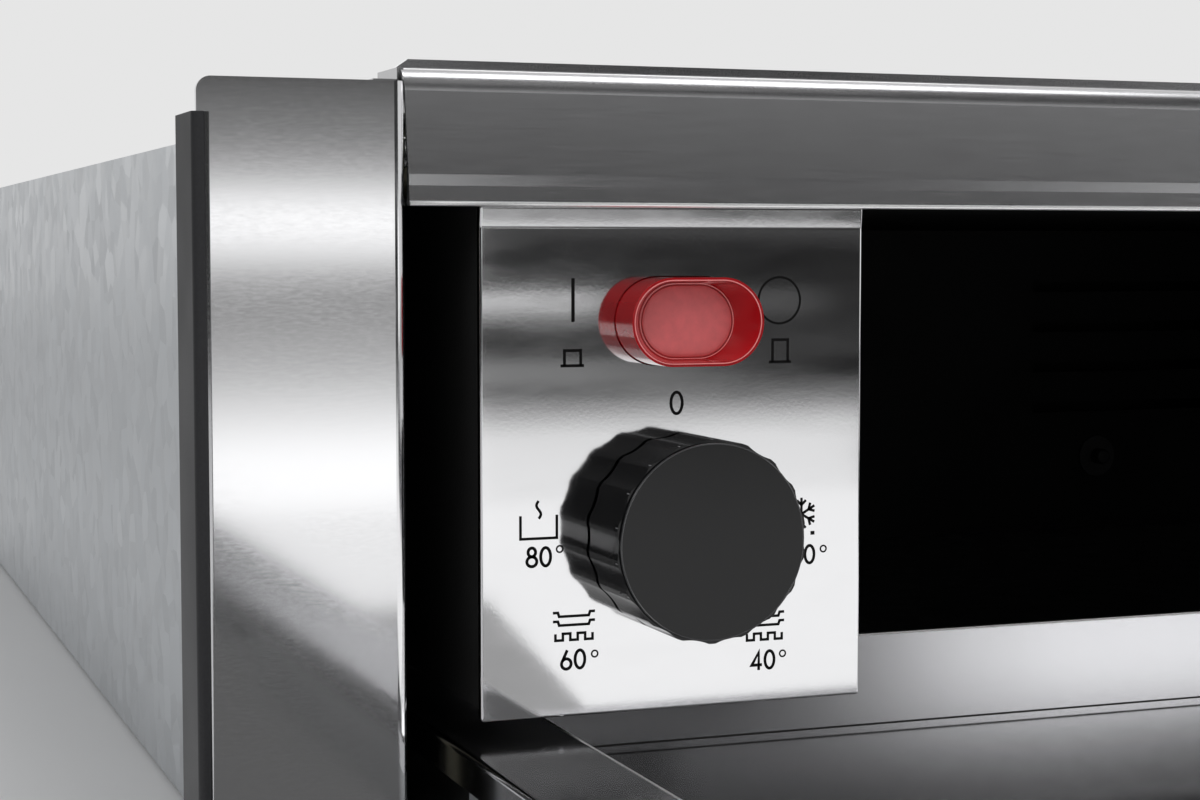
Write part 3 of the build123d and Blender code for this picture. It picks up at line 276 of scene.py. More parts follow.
def grid_faces(rows, columns, wrap_rows=False, wrap_columns=False, start=0):
    """Quads over a grid of points numbered row by row, closed round either way when asked."""
    last_row = rows if wrap_rows else rows - 1
    last_column = columns if wrap_columns else columns - 1
    row, column = np.meshgrid(np.arange(last_row), np.arange(last_column), indexing="ij")
    row_next = (row + 1) % rows
    column_next = (column + 1) % columns
    corners = [row * columns + column, row * columns + column_next,
               row_next * columns + column_next, row_next * columns + column]
    return (np.stack(corners, axis=-1).reshape(-1, 4) + start).tolist()


def points_at(x, y, z):
    """Points from their X, Y and Z, any of which may be one number for all of them."""
    return np.stack(np.broadcast_arrays(x, y, z), axis=-1)


def joined(parts):
    """Several point and face lists as one."""
    points = []
    faces = []
    for part_points, part_faces in parts:
        start = len(points)
        points += np.asarray(part_points).reshape(-1, 3).tolist()
        faces += [[start + corner for corner in face] for face in part_faces]
    return points, faces


def make_piece(name, points, faces, material, body, smooth=True, replaces=()):
    """A mesh piece at the origin, riding on a body."""
    mesh = bpy.data.meshes.new(name)
    mesh.from_pydata(np.asarray(points).reshape(-1, 3).tolist(), [], faces)
    mesh.materials.append(material)
    mesh.polygons.foreach_set("use_smooth", [smooth] * len(mesh.polygons))
    mesh.update()
    piece = bpy.data.objects.new(name, mesh)
    bpy.context.scene.collection.objects.link(piece)
    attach(piece, body)
    if replaces:
        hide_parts(*replaces)
    return piece


# ---------------------------------------------------------------------------
# Printed symbols on the control plate
# ---------------------------------------------------------------------------

PRINT_LIFT = 0.02 * MM
DIGIT_HEIGHT = 3.15
DIGIT_STROKE = 0.48


def neighbours(path, closed):
    """For each point of a path, the stretch that comes to it and the one that goes on, straight on at open ends."""
    before = np.roll(path, 1, axis=0) if closed else np.vstack([2 * path[0] - path[1], path[:-1]])
    after = np.roll(path, -1, axis=0) if closed else np.vstack([path[1:], 2 * path[-1] - path[-2]])
    return path - before, after - path


def unit(vectors):
    """Rows of vectors at a length of one."""
    return vectors / np.linalg.norm(vectors, axis=1)[:, None]


def arc(cx, cz, rx, rz, start, end, count=20):
    """Points on an ellipse's arc, from one angle to another, in degrees."""
    angle = np.radians(np.linspace(start, end, count))
    return np.stack([cx + rx * np.cos(angle), cz + rz * np.sin(angle)], axis=1)


def line(*points):
    """Points of a bent line."""
    return np.array(points, float)


def ribbon(path, width, closed=False):
    """A flat band along a path in (X, Z): each point moved half the width to both sides, along the mean of the
    normals of the two stretches that meet there, lengthened so that the band keeps its width round a corner."""
    first, second = [unit(stretch) for stretch in neighbours(path, closed)]
    normal_first = np.stack([-first[:, 1], first[:, 0]], axis=1)
    normal_second = np.stack([-second[:, 1], second[:, 0]], axis=1)
    middle = unit(normal_first + normal_second)
    stretch = 1 / np.clip((middle * normal_first).sum(axis=1), 0.4, 1)
    shift = middle * (stretch * width / 2)[:, None]
    return path + shift, path - shift


def digit(figure, x, z, height):
    """The strokes of a figure in a plain geometric hand, standing at x, z; a figure is 0.62 of its height wide."""
    strokes = {
        "0": [(arc(0.31, 0.5, 0.25, 0.44, 0, 354, 36), True)],
        "8": [(arc(0.31, 0.74, 0.19, 0.21, -90, 264, 30), True), (arc(0.31, 0.29, 0.25, 0.235, 90, 444, 30), True)],
        "6": [(arc(0.31, 0.30, 0.245, 0.25, 0, 354, 32), True), (line((0.09, 0.40), (0.36, 0.97)), False)],
        "4": [(line((0.42, 0.0), (0.42, 0.9), (0.04, 0.26), (0.60, 0.26)), False)],
        "3": [(arc(0.27, 0.73, 0.2, 0.2, 160, -90, 20), False), (arc(0.27, 0.29, 0.25, 0.24, 90, -160, 22), False)],
    }
    return [(path * height + (x, z), closed) for path, closed in strokes[figure]]


def number(text, right, bottom, height=DIGIT_HEIGHT):
    """The strokes of a temperature, its last figure ending at right."""
    pitch = 0.70 * height
    left = right - pitch * (len(text) - 1) - 0.58 * height
    strokes = []
    for index, figure in enumerate(text):
        strokes += digit(figure, left + index * pitch, bottom, height)
    return strokes


def degree_ring(x, z):
    """The small ring of a degree sign."""
    return [(arc(x, z, 0.5, 0.5, 0, 345, 20), True)]


def dish(centre, z, half=3.4, rim=0.8, rise=0.6):
    """A dish seen from the side: a flat base, short raised ends and level rims."""
    return [(line((centre - half, z + rise), (centre - half + rim, z + rise), (centre - half + rim + 0.2, z),
                  (centre + half - rim - 0.2, z), (centre + half - rim, z + rise), (centre + half, z + rise)), False)]


def heat_line(centre, low, half=3.0, rise=1.0, steps=5):
    """A square wave that starts and ends high: low, high, low, high and low over its five equal steps."""
    x = np.repeat(np.linspace(centre - half, centre + half, steps + 1), 2)
    level = np.resize([1, 0, 0, 1], 2 * (steps + 1))
    return [(np.stack([x, low + rise * level], axis=1), False)]


def plate_rack(centre, base):
    """Two dishes over a heat line."""
    return dish(centre, base + 3.8) + dish(centre, base + 2.45) + heat_line(centre, base + 0.15)


def steaming_pot(centre, base):
    """An open pot with one curl of steam."""
    pot = line((centre - 2.9, base + 3.5), (centre - 2.9, base), (centre + 2.9, base), (centre + 2.9, base + 3.5))
    height = np.linspace(0, 1, 17)
    curl = np.stack([centre + 0.35 * np.sin(height * 2 * np.pi), base + 3.0 + 2.7 * height], axis=1)
    return [(pot, False), (curl, False)]


def snow_flake(centre, middle, radius):
    """A six-armed flake with forked arms."""
    strokes = []
    for turn in range(0, 180, 60):
        direction = np.array([math.cos(math.radians(turn + 30)), math.sin(math.radians(turn + 30))])
        hub = np.array([centre, middle])
        strokes.append((np.array([hub - radius * direction, hub + radius * direction]), False))
    for turn in range(0, 360, 60):
        angle = math.radians(turn + 30)
        fork = np.array([centre, middle]) + 0.55 * radius * np.array([math.cos(angle), math.sin(angle)])
        for side in (-1, 1):
            lean = angle + side * math.radians(45)
            tip = fork + 0.42 * radius * np.array([math.cos(lean), math.sin(lean)])
            strokes.append((np.array([fork, tip]), False))
    return strokes


def drop(x, z, radius):
    """A filled drop: a thick short stroke."""
    return [(line((x, z - radius), (x, z + radius)), False)]


def button_sign(left, right, base, top, box_left, box_right):
    """A button seen from the side on its base line."""
    return [
        (line((left, base), (right, base)), False),
        (line((box_left, base), (box_left, top), (box_right, top), (box_right, base)), False),
    ]


def print_strokes(name, strokes, width, material):
    """Prints strokes on the plate: thin raised bands of ink, their backs sunk a hair into the plate. The section is
    a rectangle between the two edges of the band and two depths, carried along the stroke."""
    ink_front = plate_face - PRINT_LIFT
    ink_back = plate_face + PRINT_LIFT / 2
    bands = []
    for path, closed in strokes:
        left, right = ribbon(path, width, closed)
        count = len(path)
        corners = [(left, ink_back), (left, ink_front), (right, ink_front), (right, ink_back)]
        points = np.stack([points_at(edge[:, 0] * MM, depth, edge[:, 1] * MM) for edge, depth in corners])
        faces = [face[::-1] for face in grid_faces(4, count, wrap_rows=True, wrap_columns=closed)]
        if not closed:
            faces.append([count * corner for corner in (3, 2, 1, 0)])
            faces.append([count * corner + count - 1 for corner in range(4)])
        bands.append((points, faces))
    points, faces = joined(bands)
    make_piece(name, points, faces, material, "housing", smooth=False)


def make_print(materials):
    """The on and off signs, the scale round the knob and its four signs."""
    ink = materials["print_black"]
    print_strokes("sign_on", [(line((-239.13, 102.1), (-239.13, 108.7)), False)], 0.55, ink)
    print_strokes("sign_off", [(arc(-204.92, 105.1, 3.55, 3.6, 0, 354, 60), True)], 0.36, ink)
    pressed = button_sign(-241.13, -237.37, 95.5, 97.8, -240.5, -237.9)
    released = button_sign(-206.64, -202.86, 95.5, 98.95, -206.05, -203.45)
    print_strokes("signs_button", pressed + released, 0.45, ink)
    scale = number("0", -221.2, 87.6, 3.75)
    scale += number("80", -242.7, 65.1) + number("60", -237.2, 49.15)
    scale += number("40", -205.45, 47.05) + number("30", -198.6, 63.4)
    print_strokes("scale_numbers", scale, DIGIT_STROKE, ink)
    degrees = degree_ring(-241.3, 67.75) + degree_ring(-235.65, 51.4)
    degrees += degree_ring(-204.05, 49.45) + degree_ring(-197.05, 65.75)
    print_strokes("scale_degrees", degrees, 0.26, ink)
    signs = plate_rack(-239.0, 53.6) + plate_rack(-207.2, 51.7)
    signs += steaming_pot(-244.65, 69.5)
    signs += snow_flake(-200.9, 71.4, 2.6)
    print_strokes("scale_signs", signs, 0.42, ink)
    print_strokes("scale_drops", drop(-198.95, 68.35, 0.3) + drop(-202.6, 68.2, 0.3), 0.7, ink)


# ---------------------------------------------------------------------------
# Small fittings, and beads painted as highlights on edges
# ---------------------------------------------------------------------------

THREAD_PITCH = 0.7 * MM
REAR_FACE = 0.270
LID_FACE = 0.134
KNOB_CENTRE = (-0.2216, 0.0694724)
BUTTON_CENTRE = (-0.2216, 0.1021)


def pointing(axis, along, first, second):
    """Places along and across a fitting, as X, Y and Z for the way that it points."""
    order = {"+y": (second, along, first), "+x": (along, first, second), "-x": (-along, second, first),
             "+z": (first, second, along)}[axis]
    return np.stack(order, axis=-1)


def turned(profile, centre, axis, steps=40, ribs=0, rib_depth=0.0, ribbed=(0, 0)):
    """A body turned round an axis: each (radius, along) of the profile is carried round a circle. Between two rows
    of the profile the radius also swells and shrinks as a cosine of the turn, which makes ribs."""
    profile = np.asarray(profile, float)
    angle = np.linspace(0, 2 * np.pi, steps, endpoint=False)
    radius = np.repeat(profile[:, :1], steps, axis=1)
    radius[ribbed[0]:ribbed[1]] += rib_depth * np.cos(ribs * angle)
    along = np.repeat(profile[:, 1:], steps, axis=1)
    points = pointing(axis, along, radius * np.cos(angle), radius * np.sin(angle)) + np.asarray(centre, float)
    return points, (len(profile), steps)


def screw_head(centre, axis, radius, height):
    """A raised head with a cross recess: the height falls from the middle as a square root dome, less a flat-bottomed
    cross whose arms narrow outwards; the last ring drops to the seat, and the middle is closed by a fan."""
    steps = 72
    share = np.array([0.12, 0.22, 0.32, 0.42, 0.50, 0.56, 0.64, 0.76, 0.86, 0.94, 0.985, 1.0, 1.0])
    angle = np.linspace(0, 2 * np.pi, steps, endpoint=False)
    r = radius * share[:, None] * np.ones(steps)
    rise = height * np.sqrt(np.clip(1 - 0.86 * share[:, None] ** 2.6, 0, 1)) * np.ones(steps)
    arm = np.minimum(np.abs(np.sin(angle)), np.abs(np.cos(angle))) * share[:, None]
    arm_width, arm_reach, recess = 0.12, 0.58, 0.62 * height
    rise = rise - recess * ((arm < arm_width) & (share[:, None] < arm_reach))
    rise[-1] = 0
    points = pointing(axis, rise, r * np.cos(angle), r * np.sin(angle)) + np.asarray(centre, float)
    points = points.reshape(-1, 3).tolist()
    points.append((np.asarray(centre) + pointing(axis, 1, 0, 0) * 0.34 * height).tolist())
    faces = [face[::-1] for face in grid_faces(len(share), steps, wrap_columns=True)]
    hub = len(points) - 1
    faces += [[hub, index, (index + 1) % steps] for index in range(steps)]
    last = (len(share) - 1) * steps
    faces.append([last + index for index in range(steps)][::-1])
    return points, faces


def threaded_shank(centre, axis, radius, length):
    """A shank with a ridged thread: the radius goes in and out as a triangle wave along the length."""
    count = int(length / THREAD_PITCH) * 2 + 1
    along = -np.linspace(0, length, count)
    thread = radius - 0.12 * radius * (np.arange(count) % 2)
    profile = np.stack([np.append(thread, 0.02 * radius), np.append(along, along[-1])], axis=1)
    points, (rows, steps) = turned(profile, centre, axis, 20)
    last = (rows - 1) * steps
    faces = grid_faces(rows, steps, wrap_columns=True)
    faces += [list(range(steps))[::-1], [last + index for index in range(steps)]]
    return points, [face[::-1] for face in faces]


def make_screws(name, places, axis, radius, height, material, body, shank=0.0, replaces=()):
    """Cross-head screws at their seats, with threaded shanks where they have a hole to go through."""
    parts = []
    for place_at in places:
        parts.append(screw_head(place_at, axis, radius, height))
        if shank:
            parts.append(threaded_shank(place_at, axis, radius * 0.5, shank))
    points, faces = joined(parts)
    make_piece(name, points, faces, material, body, smooth=False, replaces=replaces)


def make_all_screws(materials):
    """Tray screws, bar screws, and the screws of the lid and the rear panel."""
    finish = materials["screw_steel"]
    low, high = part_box("tray_front_screws")
    tray_y, tray_z = -0.6752, (low.z + high.z) / 2
    tray_seats = [(x, tray_y, tray_z) for x in (-0.225, -0.075, 0.075, 0.225)]
    make_screws("tray_screws", tray_seats, "+y", 3.8 * MM, 1.6 * MM, finish, "drawer", 5.0 * MM,
                ("tray_front_screws",))
    low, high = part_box("bar_end_screws")
    seat = high.x - 4.4 * MM
    bar = []
    for x, axis in ((-seat, "+x"), (seat, "-x")):
        centre = (x, (low.y + high.y) / 2, (low.z + high.z) / 2)
        bar += [screw_head(centre, axis, 2.4 * MM, 1.1 * MM), threaded_shank(centre, axis, 1.4 * MM, 3.8 * MM)]
    points, faces = joined(bar)
    make_piece("bar_screws", points, faces, finish, "housing", False, ("bar_end_screws",))
    lid = [(x, y, LID_FACE) for x in (-0.262, 0.262) for y in (-0.232, 0.01, 0.252)]
    make_screws("lid_screws", lid, "+z", 3.6 * MM, 1.5 * MM, finish, "housing")
    rear = [(x, REAR_FACE, z) for x in (-0.262, -0.09, 0.09, 0.262) for z in (0.010, 0.124)]
    make_screws("rear_screws", rear, "+y", 3.6 * MM, 1.5 * MM, finish, "housing")


def make_gland(materials):
    """The mains inlet's gland: a thread behind, and a ribbed dome nut with a rounded mouth round an open bore. It is
    one closed outline of (radius, along) in millimetres, turned round Y, with 16 ribs from the nut's fifth row."""
    low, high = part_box("cable_gland")
    centre = ((low.x + high.x) / 2, REAR_FACE, (low.z + high.z) / 2)
    thread_along = -np.arange(0.0, 12.01, 0.75)[::-1]
    thread = np.stack([np.resize([6.9, 7.45], len(thread_along)), thread_along], axis=1)
    head = [(10.9, 0.0), (10.9, 0.4), (10.5, 0.7), (10.5, 1.6), (9.9, 2.0), (9.9, 2.6), (9.9, 4.5), (9.7, 6.2),
            (9.0, 7.6), (7.8, 8.5), (6.2, 8.95), (5.2, 8.9), (4.5, 8.5), (4.1, 7.8), (4.0, 6.5), (4.0, -12.0)]
    profile = np.vstack([thread, head]) * MM
    start = len(thread) + 4
    points, (rows, steps) = turned(profile, centre, "+y", 96, 16, 0.35 * MM, (start, start + 5))
    faces = grid_faces(rows, steps, wrap_rows=True, wrap_columns=True)
    make_piece("gland", points, faces, materials["black_plastic"], "housing", True, ("cable_gland",))


def tube(path, radius, closed=False, steps=8):
    """A thin round bead along a path: at each point a circle across the mean direction of the two stretches."""
    direction = unit(sum(neighbours(path, closed)))
    helper = np.where(np.abs(direction[:, 1:2]) > 0.9, [[0.0, 0.0, 1.0]], [[0.0, 1.0, 0.0]])
    side = unit(np.cross(direction, helper))
    up = np.cross(side, direction)
    angle = np.linspace(0, 2 * np.pi, steps, endpoint=False)
    ring = side[:, None] * np.cos(angle)[:, None] + up[:, None] * np.sin(angle)[:, None]
    points = (path[:, None] + radius * ring).reshape(-1, 3).tolist()
    faces = grid_faces(len(path), steps, wrap_rows=closed, wrap_columns=True)
    if not closed:
        last = (len(path) - 1) * steps
        faces += [list(range(steps))[::-1], [last + index for index in range(steps)]]
    return points, [face[::-1] for face in faces]


def make_return_spring(materials):
    """The button's return spring: round wire along three turns of a coil. Its far end stays on the switch."""
    low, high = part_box("button_spring")
    wire, turns, travel = 0.28 * MM, 3, 4 * MM
    middle_x, middle_z = (low.x + high.x) / 2, (low.z + high.z) / 2
    coil = (high.x - low.x) / 2 - wire - 0.02 * MM
    share = np.linspace(0, 1, turns * 24 + 1)
    angle = 2 * np.pi * turns * share
    along = (low.y + wire + 0.03 * MM) * (1 - share) + (high.y - wire - 0.02 * MM) * share
    path = points_at(middle_x + coil * np.cos(angle), along, middle_z + coil * np.sin(angle))
    points, faces = tube(path, wire, steps=10)
    spring = make_piece("return_spring", points, faces, materials["spring_steel"], "housing",
                        replaces=("button_spring",))
    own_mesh(spring)


def make_bead(name, paths, radius, material, body, closed=False):
    """Beads sunk half into the edges that they follow: most are painted highlights, one is a dark joint line."""
    points, faces = joined([tube(path, radius, closed) for path in paths])
    make_piece(name, points, faces, material, body)


def level_path(half, y, z):
    """Points of a straight line along X, from one side to the other."""
    return points_at(np.linspace(-half, half, 30), y, z)


def make_edges(materials):
    """Highlights painted as bright beads on the bends of the bar's hem and of the tray, and the fine rim round the
    knob's cap, its lighter black a painted highlight too.
    """
    bright = materials["ground_edge"]
    make_bead("hem_edge", [level_path(0.2649, -0.27060, 0.11975)], 0.42 * MM, bright, "housing")
    make_bead("tray_back_edge", [level_path(0.2384, -0.20500, 0.03930)], 0.22 * MM, bright, "drawer")
    sides = [points_at(x, np.linspace(-0.674, -0.206, 40), 0.03928) for x in (-0.23985, 0.23985)]
    make_bead("tray_side_edges", sides, 0.22 * MM, bright, "drawer")
    angle = np.linspace(0, 2 * np.pi, 96, endpoint=False)
    rim_radius, rim_y = 14.72 * MM, -0.28212
    rim = points_at(KNOB_CENTRE[0] + rim_radius * np.cos(angle), rim_y, KNOB_CENTRE[1] + rim_radius * np.sin(angle))
    make_bead("knob_rim", [rim], 0.16 * MM, materials["knob_edge"], "selector", True)


def make_ridge_glints_and_joint_line(materials):
    """Glints painted as short grey beads at the front ends of the knob's 18 ridges, and the dark joint line at the
    foot of the tray's back wall."""
    ridges = []
    ridge_radius = 15.22 * MM
    for angle in np.radians(np.arange(10, 370, 20)):
        x = KNOB_CENTRE[0] + ridge_radius * math.cos(angle)
        z = KNOB_CENTRE[1] + ridge_radius * math.sin(angle)
        ridges.append(points_at(x, np.linspace(-0.28168, -0.28070, 4), z))
    make_bead("knob_ridge_glints", ridges, 0.15 * MM, materials["ridge_wear"], "selector")
    foot = level_path(0.2384, -0.20520, 0.02184)
    make_bead("tray_joint_line", [foot], 0.20 * MM, materials["black_plastic"], "drawer")


def stadium_ring(width, height, steps=28):
    """A round-ended outline: two half circles joined by straight sides, as (X, Z) about its centre."""
    right = arc((width - height) / 2, 0, height / 2, height / 2, -90, 90, steps)
    return np.vstack([right, -right])


def upright_ring(ring, y):
    """An outline in (X, Z) about the button's centre, stood up at a depth."""
    return points_at(BUTTON_CENTRE[0] + ring[:, 0], y, BUTTON_CENTRE[1] + ring[:, 1])


def make_button_face(materials):
    """The button's frosted floor, a shallow crowned disc in the dish, and the two fine rims of the dish, their pale
    red a painted highlight. The floor's rings shrink towards a short middle line, and its crown falls as the root of
    one less the share to the fourth."""
    shares = np.array([0.2, 0.45, 0.7, 0.88, 0.96, 1.0])
    outline = stadium_ring(15.0 * MM, 11.1 * MM)
    spine = outline * [0.28, 0.0]
    depth = -0.27161 - 0.00028 * np.sqrt(np.clip(1 - shares ** 4, 0, 1))
    points = np.stack([upright_ring(spine + share * (outline - spine), y) for share, y in zip(shares, depth)])
    count = points.shape[1]
    faces = [face[::-1] for face in grid_faces(len(shares), count, wrap_columns=True)]
    faces.append(list(range(count)))
    faces.append([(len(shares) - 1) * count + index for index in range(count)][::-1])
    make_piece("button_floor", points, faces, materials["frosted_red"], "push_button")
    rims = [upright_ring(stadium_ring(width * MM, height * MM), y)
            for width, height, y in ((15.35, 11.45, -0.27166), (20.65, 12.55, -0.27626))]
    make_bead("button_rims", rims, 0.11 * MM, materials["button_gleam"], "push_button", True)


# ---------------------------------------------------------------------------
# Wool and foil
# ---------------------------------------------------------------------------

def lumps(first, second, size, seed):
    """Slow unevenness between -1 and 1: a few sine waves across two directions, added up."""
    random = np.random.default_rng(seed)
    total = np.zeros(np.broadcast(first, second).shape)
    for index in range(9):
        turn, phase = random.uniform(0, 2 * np.pi, 2)
        wave = random.uniform(0.6, 1.8) / size
        total = total + np.sin(2 * np.pi * wave * (first * np.cos(turn) + second * np.sin(turn)) + phase)
    return total / 4.5


def make_blanket(materials):
    """The mineral-wool blanket: a section that goes up one side, over the top and down the other, its corners
    rounded, carried along Y. Its inner face lies on the liner, its outer face sinks and swells by slow lumps."""
    low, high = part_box("insulation_blanket")
    inner_x, inner_top, inner_bend = 0.2640, 0.1212, 1.5 * MM
    outer_x, outer_top, outer_bend = high.x - 0.4 * MM, high.z - 0.4 * MM, 14 * MM

    def arch(half, top, bend):
        """Points in (X, Z) up one side, round a quarter circle, over the top and down the other side."""
        turn = np.radians(np.linspace(0, 90, 9))
        right = np.stack([half - bend + bend * np.cos(turn), top - bend + bend * np.sin(turn)], axis=1)
        side = np.stack([np.full(14, half), np.linspace(low.z + 0.2 * MM, top - bend, 14, endpoint=False)], axis=1)
        over = np.stack([np.linspace(half - bend, 0, 30)[1:], np.full(29, top)], axis=1)
        half_line = np.vstack([side, right, over])
        return np.vstack([half_line, (half_line * [-1, 1])[-2::-1]])

    inner = arch(inner_x, inner_top, inner_bend)
    outer = arch(outer_x, outer_top, outer_bend)
    along = np.linspace(low.y + 0.5 * MM, high.y - 0.5 * MM, 90)
    place_x = np.linspace(0, 0.8, len(outer))
    sink = 0.0007 + 0.0006 * lumps(place_x[None, :], along[:, None], 0.07, 4)
    face = outer[None] + unit(inner - outer)[None] * sink[..., None]
    middle = (inner + outer) / 2
    section = np.concatenate([face, np.broadcast_to(inner[::-1], (len(along),) + inner.shape)], axis=1)
    end_round = np.ones(len(along))
    end_round[[0, -1]] = 0.55
    end_round[[1, -2]] = 0.85
    spine = np.concatenate([middle, middle[::-1]])
    section = spine + end_round[:, None, None] * (section - spine)
    points = points_at(section[..., 0], along[:, None], section[..., 1])
    count = section.shape[1]
    faces = [face[::-1] for face in grid_faces(len(along), count, wrap_columns=True)]
    half = count // 2
    for row, flip in ((0, False), (len(along) - 1, True)):
        for index in range(half - 1):
            quad = [row * count + corner for corner in (index, index + 1, count - 2 - index, count - 1 - index)]
            faces.append(quad[::-1] if flip else quad)
    piece = make_piece("wool_blanket", points, faces, materials["mineral_wool"], "housing", True,
                       ("insulation_blanket",))


def make_front_pad(materials):
    """The foil-faced pad in the front: its front lies flat on the skin, its back is crowned, and its edge thins as
    the fourth root of the distance in from the edge; stitched dimples stand in rows."""
    low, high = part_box("front_pad")
    across = np.linspace(-1, 1, 121)[:, None]
    height = np.linspace(-1, 1, 41)[None, :]
    edge = np.clip((1 - across ** 8) * (1 - height ** 6), 0, 1) ** 0.25
    x = (low.x + high.x) / 2 + (high.x - low.x) / 2 * 0.997 * across * np.ones_like(height)
    z = (low.z + high.z) / 2 + (high.z - low.z) / 2 * 0.99 * height * np.ones_like(across)
    dimple = np.cos(2 * np.pi * x / 0.046) * np.cos(2 * np.pi * z / 0.034)
    skin_side = low.y + 0.2 * MM
    thick = (high.y - low.y - 0.4 * MM) * edge * (0.86 + 0.10 * dimple + 0.04 * lumps(x, z, 0.05, 7))
    front = points_at(x, skin_side, z)
    back = points_at(x, skin_side + thick, z)
    rows, columns = x.shape
    faces = grid_faces(rows, columns) + [face[::-1] for face in grid_faces(rows, columns, start=rows * columns)]
    rim = [row * columns for row in range(rows)]
    rim += [(rows - 1) * columns + column for column in range(1, columns)]
    rim += [row * columns + columns - 1 for row in range(rows - 2, -1, -1)]
    rim += list(range(columns - 2, 0, -1))
    total = rows * columns
    for index, corner in enumerate(rim):
        follower = rim[(index + 1) % len(rim)]
        faces.append([corner, follower, follower + total, corner + total])
    faces = [face[::-1] for face in faces]
    points = np.concatenate([front.reshape(-1, 3), back.reshape(-1, 3)])
    piece = make_piece("foil_pad_quilt", points, faces, materials["foil_pad"], "drawer", True,
                       ("front_pad",))


# ---------------------------------------------------------------------------
# Stage
# ---------------------------------------------------------------------------

def plain_floor():
    """A pale floor, with the world as its backdrop."""
    size = 4.0
    mesh = bpy.data.meshes.new("floor")
    mesh.from_pydata([(-size, -size, 0), (size, -size, 0), (size, size, 0), (-size, size, 0)], [], [(0, 1, 2, 3)])
    material, tree, shader = new_material("floor_paint", Roughness=0.9)
    cloud = noise(tree, (3, 3, 3))
    link_tint(tree, shader, cloud, (0.78, 0.78, 0.78), (0.82, 0.82, 0.82))
    mesh.materials.append(material)
    floor = bpy.data.objects.new("floor", mesh)
    bpy.context.scene.collection.objects.link(floor)


def pale_world():
    """A pale backdrop all round, seen by the camera and in metal and plastic, and a dimmer even light from it."""
    world = bpy.data.worlds.new("world")
    bpy.context.scene.world = world
    world.use_nodes = True
    tree = world.node_tree
    tree.nodes.clear()
    rays = add(tree, "ShaderNodeLightPath")
    seen_by_metal = add(tree, "ShaderNodeMath", {
        0: rays.outputs["Is Glossy Ray"], 1: rays.outputs["Is Transmission Ray"]}, operation="MAXIMUM")
    seen = add(tree, "ShaderNodeMath", {
        0: rays.outputs["Is Camera Ray"], 1: seen_by_metal.outputs[0]}, operation="MAXIMUM")
    light = add(tree, "ShaderNodeBackground", {"Color": (0.92, 0.93, 0.95, 1), "Strength": 0.35})
    backdrop = add(tree, "ShaderNodeBackground", {"Color": (0.93, 0.93, 0.93, 1), "Strength": 0.85})
    mixed = add(tree, "ShaderNodeMixShader", {0: seen.outputs[0], 1: light.outputs[0], 2: backdrop.outputs[0]})
    add(tree, "ShaderNodeOutputWorld", {"Surface": mixed.outputs[0]})


def studio_panel(name, corners, grey, nearest=0.0):
    """A glowing panel that only reflections see, from its face and no nearer than a distance: a flag or card that
    paints a dark or light reflection into the metal.
    """
    mesh = bpy.data.meshes.new(name)
    mesh.from_pydata([tuple(corner) for corner in corners], [], [tuple(range(len(corners)))])
    material, tree, shader = new_material(name, Roughness=1.0, Specular_IOR_Level=0.0)
    shader.inputs["Base Color"].default_value = (0, 0, 0, 1)
    shader.inputs["Emission Color"].default_value = (grey, grey, grey, 1)
    shader.inputs["Emission Strength"].default_value = 1.0
    clear = add(tree, "ShaderNodeBsdfTransparent")
    behind = add(tree, "ShaderNodeNewGeometry")
    rays = add(tree, "ShaderNodeLightPath")
    near = add(tree, "ShaderNodeMath", {0: rays.outputs["Ray Length"], 1: nearest}, operation="LESS_THAN")
    hidden = add(tree, "ShaderNodeMath", {0: behind.outputs["Backfacing"], 1: near.outputs[0]}, operation="MAXIMUM")
    sided = add(tree, "ShaderNodeMixShader", {0: hidden.outputs[0], 1: shader.outputs[0], 2: clear.outputs[0]})
    tree.links.new(sided.outputs[0], tree.nodes["Material Output"].inputs["Surface"])
    mesh.materials.append(material)
    flag = bpy.data.objects.new(name, mesh)
    bpy.context.scene.collection.objects.link(flag)
    flag.visible_camera = False
    flag.visible_diffuse = False
    flag.visible_shadow = False
    return flag


def upright_panel(name, x_range, y, z_range, grey, nearest=0.0):
    """A studio panel that stands across the view, facing the housing."""
    (left, right), (low, high) = x_range, z_range
    return studio_panel(name, [(left, y, low), (left, y, high), (right, y, high), (right, y, low)], grey, nearest)


def lying_panel(name, corners, z, grey):
    """A level studio panel at a height, given by its corners in (X, Y)."""
    studio_panel(name, [(x, y, z) for x, y in corners], grey)


# The cards' greys are painted reflections of a lit and shaded drawer front and a lit tray floor.
CARD_PLANE = -0.655
NEAREST_CARD = 0.375
LEFT_CARD_TONES = [(0.023, 1.5), (0.048, 1.5), (0.060, 1.1), (0.075, 0.62), (0.095, 0.34), (0.103, 0.40),
                   (0.114, 1.3), (0.121, 1.7), (0.128, 1.4), (0.136, 0.6), (0.147, 0.28), (0.168, 0.14)]
RIGHT_CARD_TONES = [(0.023, 1.0), (0.051, 1.0), (0.057, 0.60), (0.062, 0.20), (0.069, 0.08), (0.082, 0.04),
                    (0.092, 0.025), (0.115, 0.015), (0.119, 0.08), (0.128, 0.08), (0.131, 0.03)]
WALL_CARD_TONES = [(0.012, 0.05), (0.050, 0.20), (0.080, 0.50), (0.120, 1.1), (0.170, 1.5), (0.330, 1.5)]
STRIP_FLAG_TONES = [(-0.200, 0.26), (-0.175, 0.24), (-0.150, 0.16), (-0.130, 0.03), (-0.095, 0.01)]
EDGE_CARD_TONES = [(-0.137, 0.85), (-0.100, 0.80), (-0.080, 0.30), (-0.060, 0.14), (-0.020, 0.12), (0.000, 0.03),
                   (0.012, 0.02)]


